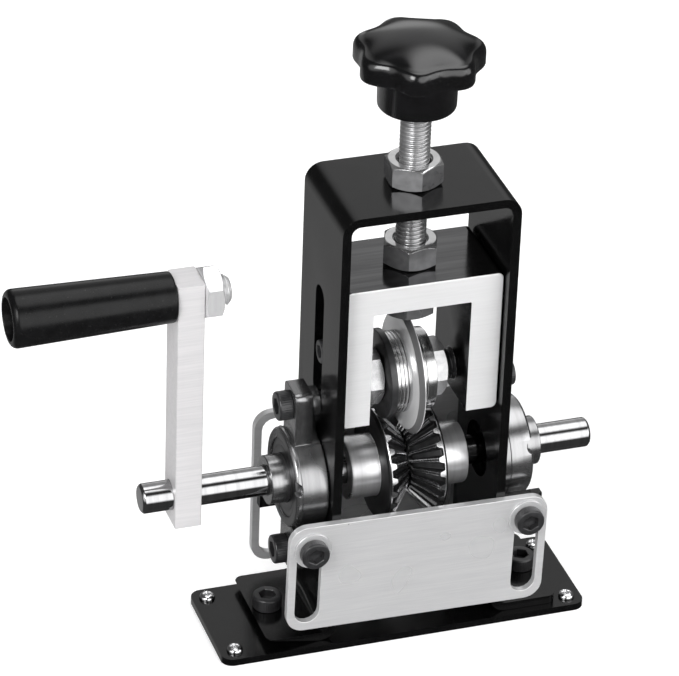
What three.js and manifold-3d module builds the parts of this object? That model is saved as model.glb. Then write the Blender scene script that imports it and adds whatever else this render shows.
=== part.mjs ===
// Hand crank wire stripper, drawn in millimetres with +Z up.
// X runs along the drive shaft, from the crank to the drill end, and Y runs from front to back.
// The origin is on the underside of the base plate, straight below the pressure screw.

import * as THREE from 'three';
import { mergeVertices } from 'three/addons/utils/BufferGeometryUtils.js';
import Module from 'manifold-3d';

const wasm = await Module();
wasm.setup();

// Clearances
const seatGap = 0.1;
const runGap = 0.3;
const slipFit = 0.15;
const screwHoleGap = 0.3;
const stackGap = 0.05;
const overrun = 1;

// Smoothness of round faces, in sides
const roundSides = 32;
const smallSides = 16;
const arcSteps = 4;
const lobeSteps = 10;
const domeSteps = 6;
const bladeSides = 48;
const shoulderSteps = 4;
const weldDistance = 1e-4;

// Metric hardware
const m10 = { radius: 5, acrossFlats: 17, nutHeight: 8, nutSides: 6 };
const m6 = { radius: 3, headRadius: 4.9, headHeight: 4.6, socket: 5, socketDepth: 2.6 };
const m5 = { radius: 2.5, headRadius: 4.25, headHeight: 4.7, socket: 4, socketDepth: 2.5 };
const grub = { radius: 2, socket: 2, socketDepth: 1.2 };
const headEdgeShare = 1 / 12;
const nutChamferSlope = Math.tan(Math.PI / 6);

// Heights that carry everything else
const baseThickness = 2.5;
const shaftHeight = 56;
const axleAboveShaft = 35;
const axleDrop = 41.7;
const archHeadroom = 29.3;
const knobLift = 27.2;

// Base plate
const baseLength = 127.5;
const baseShiftX = -3.05;
const baseFrontEdge = 2.75;
const baseCorner = 4;
const mountInset = 5.2;
const mountHeadRadius = 2.7;
const mountHeadHeight = 1.8;
const mountCrownShare = 0.7;
const mountShankRadius = 1.6;

// Arch frame, one bent strip with outward feet
const stripThickness = 3;
const archWidth = 60;
const archFront = 20;
const archBack = 19.2;
const bendInside = 3;
const footLength = 21;
const footCorner = 3;
const footScrewReach = 15;
const slotWidth = 8.6;
const slotBelow = 17;
const slotAbove = 24.8;
const legShaftHole = 9.6;
const lugReach = 13.2;
const lugThickness = 3;
const lugHeight = 14;

// Drive line
const shaftRadius = 5;
const shaftLeftReach = 59.7;
const shaftRightReach = 36;
const shaftChamfer = 0.8;

// Bearing housings
const bossRadius = 16.8;
const bossLength = 11;
const bossChamfer = 0.8;
const boltOffset = 28;
const earHeight = 34.3;
const earFlat = 5.4;
const earCorner = 2.5;
const leftEarThickness = 6;
const leftEarStandoff = 3;
const standoffFootRadius = 5.2;
const rightEarThickness = 3;
const notchRadius = 2.3;
const leftNotchRise = 4.7;
const rightNotchRise = 7.3;
const ringOuterRadius = 13.2;
const ringWall = 2.4;
const ringInnerRadius = 8.2;
const collarReach = 5.8;
const collarRelief = 0.5;
const collarGrubTurn = -28;
const collarGrubStandout = 1.4;
const ballCount = 9;
const ballRadius = 1.05;
const ballSides = 8;
const ballRows = 5;
const cageThickness = 0.9;
const cageWidth = 1.2;

// V rollers
const rollerRadius = 19;
const rollerRim = 3;
const rollerFace = 7.3;
const rollerTipRadius = 10.2;
const rollerTipGap = 0.3;
const rollerShift = 0.2;
const rollerHubRadius = 10.5;
const rollerToLeg = 6.7;
const rollerBevel = 1;
const toothCount = 24;
const toothDepth = 1.7;
const toothDepthTip = 0.8;
const toothCrestShare = 0.32;
const toothFlankShare = 0.16;

// Crank
const armThickness = 9;
const armWidth = 12.5;
const armReach = 49.4;
const armBelowShaft = 9.6;
const armLength = 91;
const armBevel = 0.5;
const gripOffset = 75;
const gripLength = 53.8;
const gripRadiusOuter = 9.5;
const gripRadiusInner = 8.3;
const gripMouthRadius = 7;
const gripMouthDepth = 15;
const gripRound = 1.4;
const gripShoulderShare = 0.33;
const gripHeadHeight = 6;
const gripHeadRadius = 6.4;
const gripNutHeight = 6;
const gripNutAcrossFlats = 16;
const gripBoltReach = 18.5;
const gripBoltChamfer = 1.2;

// Guide plates
const guideThickness = 2.5;
const guideCorner = 6;
const guideScrewReach = 7.3;
const guideScrewHeight = 41.1;
const guideSlotWidth = 8.6;
const guideSlotReach = 7.9;
const guideOverhang = 14.8;
const frontGuide = { bottom: 9.1, height: 40.3, band: 3, shift: -0.5, tilt: 1 };
const rearGuide = { bottom: 10.7, height: 58.5, band: 2.5, shift: 0.1, tilt: 0 };
const guideWasherRadius = 6.4;
const guideWasherThickness = 0.6;
const guideScrewLength = 7.5;
const guideHead = { radius: 3, headRadius: 4.8, headHeight: 3.4, socket: 5, socketDepth: 2.2 };

// Blade carrier
const carrierSideGap = 0.4;
const carrierDepth = 32.2;
const carrierHeight = 50.7;
const carrierBar = 9.5;
const carrierLeftWall = 9.5;
const carrierRightWall = 10.5;
const carrierCorner = 2;
const guideHeadDrop = 30.1;
const guideHoleDepth = 8;
const guideShankLength = 7;
const carrierGuide = { radius: 2.5, headRadius: 4, headHeight: 3, socket: 4, socketDepth: 1.5 };

// Cutting blade and its spacers
const bladeEdgeRadius = 21.2;
const bladeFaceRadius = 19.4;
const bladeLeft = -1.6;
const bladeRight = 0.2;
const bladeLand = 0.25;
const collarRingRadius = 14.9;
const collarRingThickness = 2.4;
const collarRingEdge = 0.3;
const washerRadius = 13.6;
const leftWasherCount = 4;
const leftWasherThickness = 1.27;
const rightWasherCount = 2;
const rightWasherThickness = 3.25;
const leftAxleNut = 7.2;
const rightAxleNut = 5.6;
const axleNutTurn = Math.PI / 6;

// Pressure screw and knob
const screwBelowCarrier = 19.9;
const carrierNutTurn = -0.36;
const lockNutTurn = -0.05;
const knobHubLength = 13.5;
const knobHubRadius = 12.9;
const knobHubTaper = 0.2;
const knobRimHeight = 4.8;
const knobShoulderRise = 3.1;
const knobShoulder = 2.5;
const knobDomeRise = 4.6;
const knobRadius = 21.4;
const knobLobeDepth = 2.6;
const knobLobes = 7;
const knobLobeTurn = 4.34;
const knobEdge = 0.8;
const knobBoreDepth = 16;

// Places worked out from the driving sizes
const half = 1 / 2;
const quarterTurn = Math.PI / 2;
const footBottom = baseThickness + seatGap;
const footTop = footBottom + stripThickness;
const legOuter = archWidth * half;
const legInner = legOuter - stripThickness;
const archMiddleY = (archBack - archFront) * half;
const footReach = legOuter + footLength;
const footScrewX = legOuter + footScrewReach;
const baseFront = -(archFront + baseFrontEdge);
const armOuterFace = legOuter + armReach;
const armInnerFace = armOuterFace - armThickness;
const armCentreX = -(armOuterFace + armInnerFace) * half;
const axleHeight = shaftHeight + axleAboveShaft;
const carrierTop = axleHeight + axleDrop;
const carrierWidth = archWidth - (stripThickness + carrierSideGap) * 2;
const archHeight = carrierTop + archHeadroom;
const rollerHubEnd = legInner - rollerToLeg;
const guideScrewX = legOuter + guideScrewReach;
const guideLength = archWidth + guideOverhang * 2;
const knobHubBottom = archHeight + knobLift;
const knobRimBottom = knobHubBottom + knobHubLength;
const knobRimTop = knobRimBottom + knobRimHeight;
const knobShoulderTop = knobRimTop + knobShoulderRise;
const knobTop = knobShoulderTop + knobDomeRise;
const sides = [[-1, 'left'], [1, 'right']];

// Finishes
const paint = (color, roughness, metalness) => (
  new THREE.MeshStandardMaterial({ color, roughness, metalness }));
const finish = {
  blackCoat: paint(0x161616, 0.35, 0.1),
  whiteAluminium: paint(0xd9d9d9, 0.35, 0.8),
  stainless: paint(0xb4b4b4, 0.3, 0.9),
  brightSteel: paint(0xcfcfcf, 0.15, 1),
  blackOxide: paint(0x1c1c1e, 0.35, 0.7),
  housingIron: paint(0x55565a, 0.3, 0.8),
  rollerSteel: paint(0x2b2b2e, 0.3, 0.8),
  blackPlastic: paint(0x0e0e0f, 0.3, 0),
  blackRubber: paint(0x151516, 0.55, 0),
  bladeSteel: paint(0x8d8d8f, 0.25, 1),
};

// Turns a closed geometry into a solid that can be joined and cut.
function solid(geometry) {
  const bare = geometry.clone();
  bare.deleteAttribute('normal');
  bare.deleteAttribute('uv');
  const merged = mergeVertices(bare, weldDistance);
  return new wasm.Manifold(new wasm.Mesh({
    numProp: 3,
    vertProperties: new Float32Array(merged.attributes.position.array),
    triVerts: new Uint32Array(merged.index.array),
  }));
}

// Gives a joined or cut solid back as a named mesh.
function part(name, body, material) {
  const cut = body.getMesh();
  const geometry = new THREE.BufferGeometry();
  geometry.setAttribute('position', new THREE.BufferAttribute(new Float32Array(cut.vertProperties), 3));
  geometry.setIndex(new THREE.BufferAttribute(new Uint32Array(cut.triVerts), 1));
  geometry.computeVertexNormals();
  const mesh = new THREE.Mesh(geometry, material);
  mesh.name = name;
  return mesh;
}

const joined = (first, ...rest) => rest.reduce((sum, body) => sum.add(body), first);
const cutBy = (first, ...rest) => rest.reduce((sum, body) => sum.subtract(body), first);

function box(x0, x1, y0, y1, z0, z1) {
  const geometry = new THREE.BoxGeometry(x1 - x0, y1 - y0, z1 - z0);
  geometry.translate((x0 + x1) * half, (y0 + y1) * half, (z0 + z1) * half);
  return solid(geometry);
}

// A revolved body: the profile lists [radius, place along the axis], from the axis back to the axis.
function revolved(axis, profile, count = roundSides) {
  const points = profile.map(([radius, place]) => new THREE.Vector2(radius, place));
  const geometry = new THREE.LatheGeometry(points, count);
  if (axis === 'x') geometry.rotateZ(-Math.PI / 2);
  if (axis === 'z') geometry.rotateX(Math.PI / 2);
  return solid(geometry);
}

// A plain round bar between two places on its axis.
function bar(axis, radius, from, to, count = roundSides) {
  return revolved(axis, [[0, from], [radius, from], [radius, to], [0, to]], count);
}

// A round bar with the far end, or both ends, chamfered.
function chamferedBar(axis, radius, from, to, chamfer, both = true, count = roundSides) {
  const start = both ? [[radius - chamfer, from], [radius, from + chamfer]] : [[radius, from]];
  const end = [[radius, to - chamfer], [radius - chamfer, to]];
  return revolved(axis, [[0, from], ...start, ...end, [0, to]], count);
}

// A hexagonal bar, flats square to the given angle.
function hexBar(axis, acrossFlats, from, to, turn = 0) {
  const corner = acrossFlats / Math.sqrt(3);
  const geometry = new THREE.CylinderGeometry(corner, corner, to - from, m10.nutSides);
  geometry.rotateY(turn);
  geometry.translate(0, (from + to) * half, 0);
  if (axis === 'x') geometry.rotateZ(-Math.PI / 2);
  if (axis === 'z') geometry.rotateX(Math.PI / 2);
  return solid(geometry);
}

// A hexagon nut with chamfered corners and a plain bore.
function nut(axis, from, to, bore, turn = 0, acrossFlats = m10.acrossFlats) {
  const corner = acrossFlats / Math.sqrt(3);
  const flat = acrossFlats * half;
  const rise = (corner - flat) * nutChamferSlope;
  const chamfer = revolved(axis, [
    [0, from], [flat, from], [corner, from + rise], [corner, to - rise], [flat, to], [0, to],
  ]);
  const body = hexBar(axis, acrossFlats, from, to, turn).intersect(chamfer);
  return body.subtract(bar(axis, bore, from - overrun, to + overrun));
}

// A socket head cap screw: head towards the positive axis, its seat at zero.
function capScrew(axis, size, shank, flip = false) {
  const { radius, headRadius, headHeight, socket, socketDepth } = size;
  const edge = headHeight * headEdgeShare;
  const head = chamferedBar(axis, headRadius, 0, headHeight, edge, false, smallSides);
  const stem = bar(axis, radius, -shank, edge, smallSides);
  const key = hexBar(axis, socket, headHeight - socketDepth, headHeight + overrun);
  const screw = cutBy(joined(head, stem), key);
  return flip ? turned(screw, axis) : screw;
}

// Half a turn about a line square to the axis.
function turned(body, axis) {
  return axis === 'z' ? body.rotate([180, 0, 0]) : body.rotate([0, 0, 180]);
}

// A flat outline in the plane of two axes, pushed through along the third.
function pushed(shape, normal, from, to, holes = []) {
  for (const hole of holes) shape.holes.push(hole);
  const geometry = new THREE.ExtrudeGeometry(shape, {
    depth: to - from, bevelEnabled: false, curveSegments: arcSteps,
  });
  geometry.translate(0, 0, from);
  if (normal === 'y') {
    geometry.rotateX(Math.PI / 2);
    geometry.scale(1, -1, 1);
    flipFaces(geometry);
  }
  if (normal === 'x') {
    geometry.rotateY(Math.PI / 2);
    geometry.rotateX(Math.PI / 2);
  }
  return solid(geometry);
}

// Mirrored geometry gets its winding turned so that its faces point out again.
function flipFaces(geometry) {
  const array = geometry.attributes.position.array;
  const stride = 9;
  for (let start = 0; start < array.length; start += stride) {
    for (let axis = 0; axis < 3; axis += 1) {
      const kept = array[start + 3 + axis];
      array[start + 3 + axis] = array[start + 6 + axis];
      array[start + 6 + axis] = kept;
    }
  }
}

function roundedRectangle(width, height, corner, centreX = 0, centreY = 0) {
  const right = centreX + width / 2;
  const left = centreX - width / 2;
  const top = centreY + height / 2;
  const bottom = centreY - height / 2;
  const shape = new THREE.Shape();
  shape.moveTo(left + corner, bottom);
  shape.lineTo(right - corner, bottom);
  shape.absarc(right - corner, bottom + corner, corner, -Math.PI / 2, 0, false);
  shape.absarc(right - corner, top - corner, corner, 0, Math.PI / 2, false);
  shape.absarc(left + corner, top - corner, corner, Math.PI / 2, Math.PI, false);
  shape.absarc(left + corner, bottom + corner, corner, Math.PI, Math.PI * 3 / 2, false);
  return shape;
}

// An upright slot with round ends.
function slotOutline(centreX, bottom, top, width) {
  const radius = width / 2;
  const shape = new THREE.Shape();
  shape.absarc(centreX, bottom + radius, radius, Math.PI, Math.PI * 2, false);
  shape.absarc(centreX, top - radius, radius, 0, Math.PI, false);
  return shape;
}

// An upright hole for a screw, through everything between two heights.
function uprightHole(radius, x, y, from, to) {
  return bar('z', radius, from - overrun, to + overrun, smallSides).translate([x, y, 0]);
}

// A hole along X through one leg.
function legHole(side, radius, height, count = smallSides) {
  const reach = stripThickness * 2;
  return bar('x', radius, -reach, reach, count).translate([side * legOuter, 0, height]);
}

function basePlate() {
  const depth = archBack - baseFront;
  const middle = (archBack + baseFront) * half;
  const outline = roundedRectangle(baseLength, depth, baseCorner, baseShiftX, middle);
  let plate = pushed(outline, 'z', 0, baseThickness);
  for (const [side] of sides) {
    const hole = uprightHole(m6.radius + screwHoleGap, side * footScrewX, 0, 0, baseThickness);
    plate = plate.subtract(hole);
  }
  for (const [x, y] of mountPlaces()) {
    plate = plate.subtract(uprightHole(mountShankRadius + screwHoleGap, x, y, 0, baseThickness));
  }
  return part('base_plate', plate, finish.blackCoat);
}

function mountPlaces() {
  const reachX = baseLength * half - mountInset;
  const front = baseFront + mountInset;
  const back = archBack - mountInset;
  const right = baseShiftX + reachX;
  const left = baseShiftX - reachX;
  return [[left, front], [right, front], [right, back], [left, back]];
}

function mountingScrews() {
  return mountPlaces().map(([x, y], index) => {
    const top = mountHeadHeight + seatGap;
    const crown = mountHeadRadius * mountCrownShare;
    const screw = revolved('z', [
      [0, -baseThickness], [mountShankRadius, -baseThickness], [mountShankRadius, seatGap],
      [mountHeadRadius, seatGap], [mountHeadRadius, top * half], [crown, top], [0, top],
    ], smallSides);
    const mesh = part(`mounting_screw_${index + 1}`, screw, finish.brightSteel);
    mesh.position.set(x, y, baseThickness);
    return mesh;
  });
}

// The strip's outline seen from the front: feet, legs and top, with a bend radius at each corner.
function archOutline() {
  const outside = bendInside + stripThickness;
  const bendTop = archHeight - outside;
  const bendFoot = footBottom + outside;
  const footBendX = legOuter + bendInside;
  const topBendX = legOuter - outside;
  const turn = quarterTurn;
  const shape = new THREE.Shape();
  shape.moveTo(-footReach, footBottom);
  shape.absarc(-footBendX, bendFoot, outside, -turn, 0, false);
  shape.absarc(-topBendX, bendTop, bendInside, Math.PI, turn, true);
  shape.absarc(topBendX, bendTop, bendInside, turn, 0, true);
  shape.absarc(footBendX, bendFoot, outside, Math.PI, Math.PI + turn, false);
  shape.lineTo(footReach, footBottom);
  shape.lineTo(footReach, footTop);
  shape.absarc(footBendX, bendFoot, bendInside, -turn, -Math.PI, true);
  shape.absarc(topBendX, bendTop, outside, 0, turn, false);
  shape.absarc(-topBendX, bendTop, outside, turn, Math.PI, false);
  shape.absarc(-footBendX, bendFoot, bendInside, 0, -turn, true);
  shape.lineTo(-footReach, footTop);
  return shape;
}

function archFrame() {
  const plan = roundedRectangle(footReach * 2, archFront + archBack, footCorner, 0, archMiddleY);
  const strip = pushed(archOutline(), 'y', -archFront, archBack);
  let arch = strip.intersect(pushed(plan, 'z', 0, archHeight + overrun));
  for (const [side] of sides) {
    arch = joined(arch, guideLug(side, -archFront, 1), guideLug(side, archBack, -1));
    arch = arch.subtract(uprightHole(m6.radius + screwHoleGap, side * footScrewX, 0, 0, footTop));
    const size = side < 0 ? m6 : m5;
    for (const lift of [-boltOffset, boltOffset]) {
      arch = arch.subtract(legHole(side, size.radius + screwHoleGap, shaftHeight + lift));
    }
    arch = arch.subtract(legHole(side, legShaftHole, shaftHeight, roundSides));
  }
  const guideHeight = carrierTop - guideHeadDrop;
  const outline = slotOutline(0, guideHeight - slotBelow, guideHeight + slotAbove, slotWidth);
  const slot = pushed(outline, 'x', -legOuter - overrun, legOuter + overrun);
  const underTop = archHeight - stripThickness;
  const screwHole = bar('z', m10.radius + runGap, underTop - overrun, archHeight + overrun);
  return part('arch_frame', cutBy(arch, slot, screwHole), finish.blackCoat);
}

// A lug folded outwards from one edge of a leg, which takes one guide plate screw.
function guideLug(side, edge, inwards) {
  const near = side * (legOuter - stripThickness * half);
  const far = side * (legOuter + lugReach);
  const inner = edge + inwards * lugThickness;
  const lug = box(
    Math.min(near, far), Math.max(near, far), Math.min(inner, edge), Math.max(inner, edge),
    guideScrewHeight - lugHeight * half, guideScrewHeight + lugHeight * half);
  const hole = bar('y', m6.radius + screwHoleGap, -lugThickness * 2, lugThickness * 2, smallSides)
    .translate([side * guideScrewX, edge, guideScrewHeight]);
  return lug.subtract(hole);
}

function footScrews() {
  return sides.map(([side, word]) => {
    const screw = capScrew('z', m6, footTop - seatGap);
    const mesh = part(`foot_screw_${word}`, screw, finish.blackOxide);
    mesh.position.set(side * footScrewX, 0, footTop + seatGap);
    return mesh;
  });
}

// A two-bolt flange on a round boss. Round feet carry the ears where the flange stands off the leg.
function housingBody(earThickness, standoff) {
  const boss = chamferedBar('x', bossRadius, 0, bossLength, bossChamfer, false);
  const flange = pushed(flangeOutline(), 'x', standoff, standoff + earThickness);
  if (standoff === 0) return joined(boss, flange);
  const feet = [-boltOffset, boltOffset].map((lift) => bar(
    'x', standoffFootRadius, 0, standoff + earThickness * half, smallSides).translate([0, 0, lift]));
  return joined(boss, flange, ...feet);
}

// Two flat-topped ears with small round corners, joined to the round boss by straight tangents.
function flangeOutline() {
  const cornerLift = earHeight - earCorner;
  const towardsCorner = Math.atan2(cornerLift, earFlat);
  const distance = Math.hypot(cornerLift, earFlat);
  const lean = towardsCorner - Math.acos((bossRadius - earCorner) / distance);
  const shape = new THREE.Shape();
  shape.absarc(0, 0, bossRadius, -lean, lean, false);
  shape.absarc(earFlat, cornerLift, earCorner, lean, quarterTurn, false);
  shape.absarc(-earFlat, cornerLift, earCorner, quarterTurn, Math.PI - lean, false);
  shape.absarc(0, 0, bossRadius, Math.PI - lean, Math.PI + lean, false);
  shape.absarc(-earFlat, -cornerLift, earCorner, Math.PI + lean, quarterTurn * 3, false);
  shape.absarc(earFlat, -cornerLift, earCorner, -quarterTurn, -lean, false);
  return shape;
}

// A half-round notch at the front of the rim, cut along Y from the bearing outwards.
function housingNotch(rise) {
  const from = -(bossRadius + overrun);
  return bar('y', notchRadius, from, -ringInnerRadius, smallSides).translate([bossLength, 0, rise]);
}

function bearingHousing(side, word) {
  const size = side < 0 ? m6 : m5;
  const earThickness = side < 0 ? leftEarThickness : rightEarThickness;
  const standoff = side < 0 ? leftEarStandoff : 0;
  const rise = side < 0 ? leftNotchRise : rightNotchRise;
  let housing = housingBody(earThickness, standoff);
  housing = housing.subtract(bar('x', ringOuterRadius + slipFit, -overrun, bossLength + overrun));
  housing = housing.subtract(housingNotch(rise));
  for (const lift of [-boltOffset, boltOffset]) {
    const hole = bar('x', size.radius + screwHoleGap, -overrun, bossLength + overrun, smallSides);
    housing = housing.subtract(hole.translate([0, 0, lift]));
  }
  if (side < 0) housing = housing.mirror([1, 0, 0]);
  const mesh = part(`bearing_housing_${word}`, housing, finish.housingIron);
  mesh.position.set(side * (legOuter + seatGap), 0, shaftHeight);
  return mesh;
}

function housingScrews(side, word) {
  const size = side < 0 ? m6 : m5;
  const stack = side < 0 ? leftEarThickness + leftEarStandoff : rightEarThickness;
  return [[1, 'upper'], [-1, 'lower']].map(([lift, place]) => {
    const screw = capScrew('x', size, stack + stripThickness, side < 0);
    const mesh = part(`housing_screw_${word}_${place}`, screw, finish.blackOxide);
    mesh.position.set(side * (legOuter + stack + seatGap * 2), 0, shaftHeight + lift * boltOffset);
    return mesh;
  });
}

function bearingOuterRing(side, word) {
  const ring = bar('x', ringOuterRadius, 0, bossLength - collarRelief * 2)
    .subtract(bar('x', ringOuterRadius - ringWall, -overrun, bossLength));
  const mesh = part(`bearing_outer_ring_${word}`, ring, finish.stainless);
  const inner = legOuter + seatGap + collarRelief;
  mesh.position.set(side < 0 ? -inner - bossLength + collarRelief * 2 : inner, 0, shaftHeight);
  return mesh;
}

// The inner ring runs out past the housing as a collar that a grub screw locks to the shaft.
function bearingInnerRing(side, word) {
  const length = bossLength - collarRelief + collarReach;
  const tip = collarRelief;
  let ring = revolved('x', [
    [0, 0], [ringInnerRadius, 0], [ringInnerRadius, length - tip],
    [ringInnerRadius - tip, length], [0, length],
  ]);
  ring = ring.subtract(bar('x', shaftRadius + slipFit, -overrun, length + overrun));
  const hole = bar('z', grub.radius + slipFit, 0, ringInnerRadius + overrun, smallSides);
  ring = ring.subtract(hole.rotate([collarGrubTurn, 0, 0]).translate([length - collarReach * half, 0, 0]));
  if (side < 0) ring = ring.mirror([1, 0, 0]);
  const mesh = part(`bearing_inner_ring_${word}`, ring, finish.housingIron);
  mesh.position.set(side * (legOuter + seatGap + collarRelief), 0, 0);
  return mesh;
}

function collarGrub(side, word) {
  const screw = grubScrew('z', shaftRadius + slipFit, ringInnerRadius + collarGrubStandout);
  const mesh = part(`collar_grub_${word}`, screw.rotate([collarGrubTurn, 0, 0]), finish.blackOxide);
  const length = bossLength - collarRelief + collarReach;
  mesh.position.set(side * (legOuter + seatGap + collarRelief + length - collarReach * half), 0, 0);
  return mesh;
}

// A headless screw with a hexagon socket in its outer end.
function grubScrew(axis, from, to) {
  return cutBy(
    bar(axis, grub.radius, from, to, smallSides),
    hexBar(axis, grub.socket, to - grub.socketDepth, to + overrun));
}

// Balls in one cage ring, which rolls round between the two bearing rings.
function ballCage(side, word) {
  const middle = (ringInnerRadius + ringOuterRadius - ringWall) / 2;
  let cage = bar('x', middle + cageThickness * half, -cageWidth * half, cageWidth * half)
    .subtract(bar('x', middle - cageThickness * half, -cageWidth, cageWidth));
  for (let index = 0; index < ballCount; index += 1) {
    const angle = index / ballCount * Math.PI * 2;
    const ball = new THREE.SphereGeometry(ballRadius, ballSides, ballRows);
    ball.translate(0, Math.cos(angle) * middle, Math.sin(angle) * middle);
    cage = cage.add(solid(ball));
  }
  const mesh = part(`ball_cage_${word}`, cage, finish.brightSteel);
  mesh.position.set(side * (legOuter + seatGap + bossLength / 2), 0, shaftHeight);
  return mesh;
}

function driveShaft() {
  const left = -(legOuter + shaftLeftReach);
  const shaft = chamferedBar('x', shaftRadius, left, legOuter + shaftRightReach, shaftChamfer);
  return part('drive_shaft', shaft, finish.brightSteel);
}

// One ring of points round the X axis. Teeth lower the radius between their crests.
function toothRing(radius, depth, x) {
  const points = [];
  const pitch = Math.PI * 2 / toothCount;
  const places = [0, toothCrestShare, toothCrestShare + toothFlankShare, 1 - toothFlankShare];
  for (let tooth = 0; tooth < toothCount; tooth += 1) {
    places.forEach((place, index) => {
      const angle = (tooth + place) * pitch;
      const reach = index < 2 ? radius : radius - depth;
      points.push([x + (index < 2 ? 0 : -depth), Math.cos(angle) * reach, Math.sin(angle) * reach]);
    });
  }
  return points;
}

// Rings of points joined into one closed skin, with a flat fan over each end.
function skinned(rings) {
  const count = rings[0].length;
  const flat = rings.flat();
  const first = flat.length;
  const last = first + 1;
  const centre = (ring) => [ring.reduce((sum, point) => sum + point[0], 0) / ring.length, 0, 0];
  flat.push(centre(rings[0]), centre(rings[rings.length - 1]));
  const faces = [];
  for (let index = 0; index < count; index += 1) {
    const next = (index + 1) % count;
    faces.push(first, next, index);
    faces.push(last, (rings.length - 1) * count + index, (rings.length - 1) * count + next);
    for (let ring = 0; ring + 1 < rings.length; ring += 1) {
      const low = ring * count;
      const high = low + count;
      faces.push(low + index, low + next, high + next, low + index, high + next, high + index);
    }
  }
  const geometry = new THREE.BufferGeometry();
  geometry.setAttribute('position', new THREE.BufferAttribute(new Float32Array(flat.flat()), 3));
  geometry.setIndex(faces);
  return solid(geometry);
}

// A V roller, drawn with its hub at negative X and its toothed cone facing positive X.
function vRoller(side, word) {
  const rimBack = -(rollerFace + rollerRim);
  const rings = [
    toothRing(rollerHubRadius, 0, -rollerHubEnd),
    toothRing(rollerHubRadius, 0, rimBack),
    toothRing(rollerRadius - rollerBevel, 0, rimBack),
    toothRing(rollerRadius, 0, rimBack + rollerBevel),
    toothRing(rollerRadius, 0, -rollerFace - toothDepth),
    toothRing(rollerRadius, toothDepth, -rollerFace),
    toothRing(rollerTipRadius, toothDepthTip, -rollerTipGap),
  ];
  let roller = skinned(rings);
  roller = roller.subtract(bar('x', shaftRadius + slipFit, -rollerHubEnd - overrun, rollerFace));
  if (side > 0) roller = roller.mirror([1, 0, 0]);
  const mesh = part(`v_roller_${word}`, roller, finish.rollerSteel);
  mesh.position.set(rollerShift, 0, 0);
  return mesh;
}

function crankArm() {
  const outline = roundedRectangle(armThickness, armWidth, armBevel);
  let arm = pushed(outline, 'z', -armBelowShaft, armLength - armBelowShaft);
  const shaftHole = bar('x', shaftRadius + slipFit, -armThickness, armThickness);
  const boltHole = bar('x', m10.radius + slipFit, -armThickness, armThickness);
  const grubHole = bar('z', grub.radius + slipFit, -armBelowShaft - overrun, 0, smallSides);
  arm = cutBy(arm, shaftHole, boltHole.translate([0, 0, gripOffset]), grubHole);
  const mesh = part('crank_arm', arm, finish.whiteAluminium);
  mesh.position.set(armCentreX, 0, 0);
  return mesh;
}

function armGrub() {
  const screw = turned(grubScrew('z', shaftRadius + slipFit, armBelowShaft - slipFit), 'z');
  const mesh = part('crank_grub', screw, finish.blackOxide);
  mesh.position.set(armCentreX, 0, 0);
  return mesh;
}

// The bolt's head sits in the grip's open mouth and its end passes the nut behind the arm.
function gripBolt() {
  const seat = armOuterFace + gripLength - gripMouthDepth + seatGap * 2;
  const headEnd = -(seat + gripHeadHeight);
  const end = -armOuterFace + gripBoltReach;
  const stem = chamferedBar('x', m10.radius, -seat - seatGap, end, gripBoltChamfer, false);
  const head = bar('x', gripHeadRadius, headEnd, -seat, smallSides);
  const key = hexBar('x', m6.socket, headEnd - overrun, headEnd + m6.socketDepth);
  const mesh = part('grip_bolt', cutBy(joined(stem, head), key), finish.brightSteel);
  mesh.position.set(0, 0, gripOffset);
  return mesh;
}

function gripNut() {
  const face = -armInnerFace + seatGap;
  const body = nut('x', face, face + gripNutHeight, m10.radius + slipFit, 0, gripNutAcrossFlats);
  const mesh = part('grip_nut', body, finish.brightSteel);
  mesh.position.set(0, 0, gripOffset);
  return mesh;
}

// A tapered sleeve with a wide mouth at its outer end, drawn outwards along negative X.
function handleGrip() {
  const round = gripRound;
  const sleeve = revolved('x', [
    [0, 0], [gripRadiusInner - round, 0], [gripRadiusInner, round],
    [gripRadiusOuter, gripLength - round * 2],
    [gripRadiusOuter - round * gripShoulderShare, gripLength - round * half],
    [gripRadiusOuter - round, gripLength],
    [gripMouthRadius, gripLength],
    [gripMouthRadius, gripLength - gripMouthDepth],
    [m10.radius + runGap, gripLength - gripMouthDepth],
    [m10.radius + runGap, overrun], [0, overrun],
  ]);
  const bore = bar('x', m10.radius + runGap, -overrun, overrun * 2);
  const mesh = part('handle_grip', sleeve.subtract(bore).mirror([1, 0, 0]), finish.blackRubber);
  mesh.position.set(-armOuterFace - seatGap, 0, 0);
  return mesh;
}

// A stainless plate with a long upright slot near each end. A tilt turns it in its own plane.
function guidePlate(name, size, near, far) {
  const { bottom, height, band, shift, tilt } = size;
  const slots = sides.map(([side]) => slotOutline(
    side * (legOuter + guideSlotReach), band - height * half, height * half - band, guideSlotWidth));
  const outline = roundedRectangle(guideLength, height, guideCorner);
  const plate = pushed(outline, 'y', near, far, slots).rotate([0, tilt, 0]);
  const mesh = part(name, plate, finish.stainless);
  mesh.position.set(shift, 0, bottom + height * half);
  return mesh;
}

function guideScrews(edge, outwards, row) {
  return sides.flatMap(([side, word]) => {
    const hole = bar('y', m6.radius + screwHoleGap, -overrun, guideWasherThickness + overrun, smallSides);
    const washer = bar('y', guideWasherRadius, 0, guideWasherThickness, smallSides).subtract(hole);
    const facing = outwards < 0 ? turned(washer, 'y') : washer;
    const washerMesh = part(`guide_washer_${row}_${word}`, facing, finish.brightSteel);
    const washerSeat = edge + outwards * (seatGap + guideThickness + seatGap);
    washerMesh.position.set(side * guideScrewX, washerSeat, guideScrewHeight);
    const screw = capScrew('y', guideHead, guideScrewLength, outwards < 0);
    const screwMesh = part(`guide_screw_${row}_${word}`, screw, finish.blackOxide);
    const seat = washerSeat + outwards * (guideWasherThickness + seatGap);
    screwMesh.position.set(side * guideScrewX, seat, guideScrewHeight);
    return [washerMesh, screwMesh];
  });
}

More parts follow.
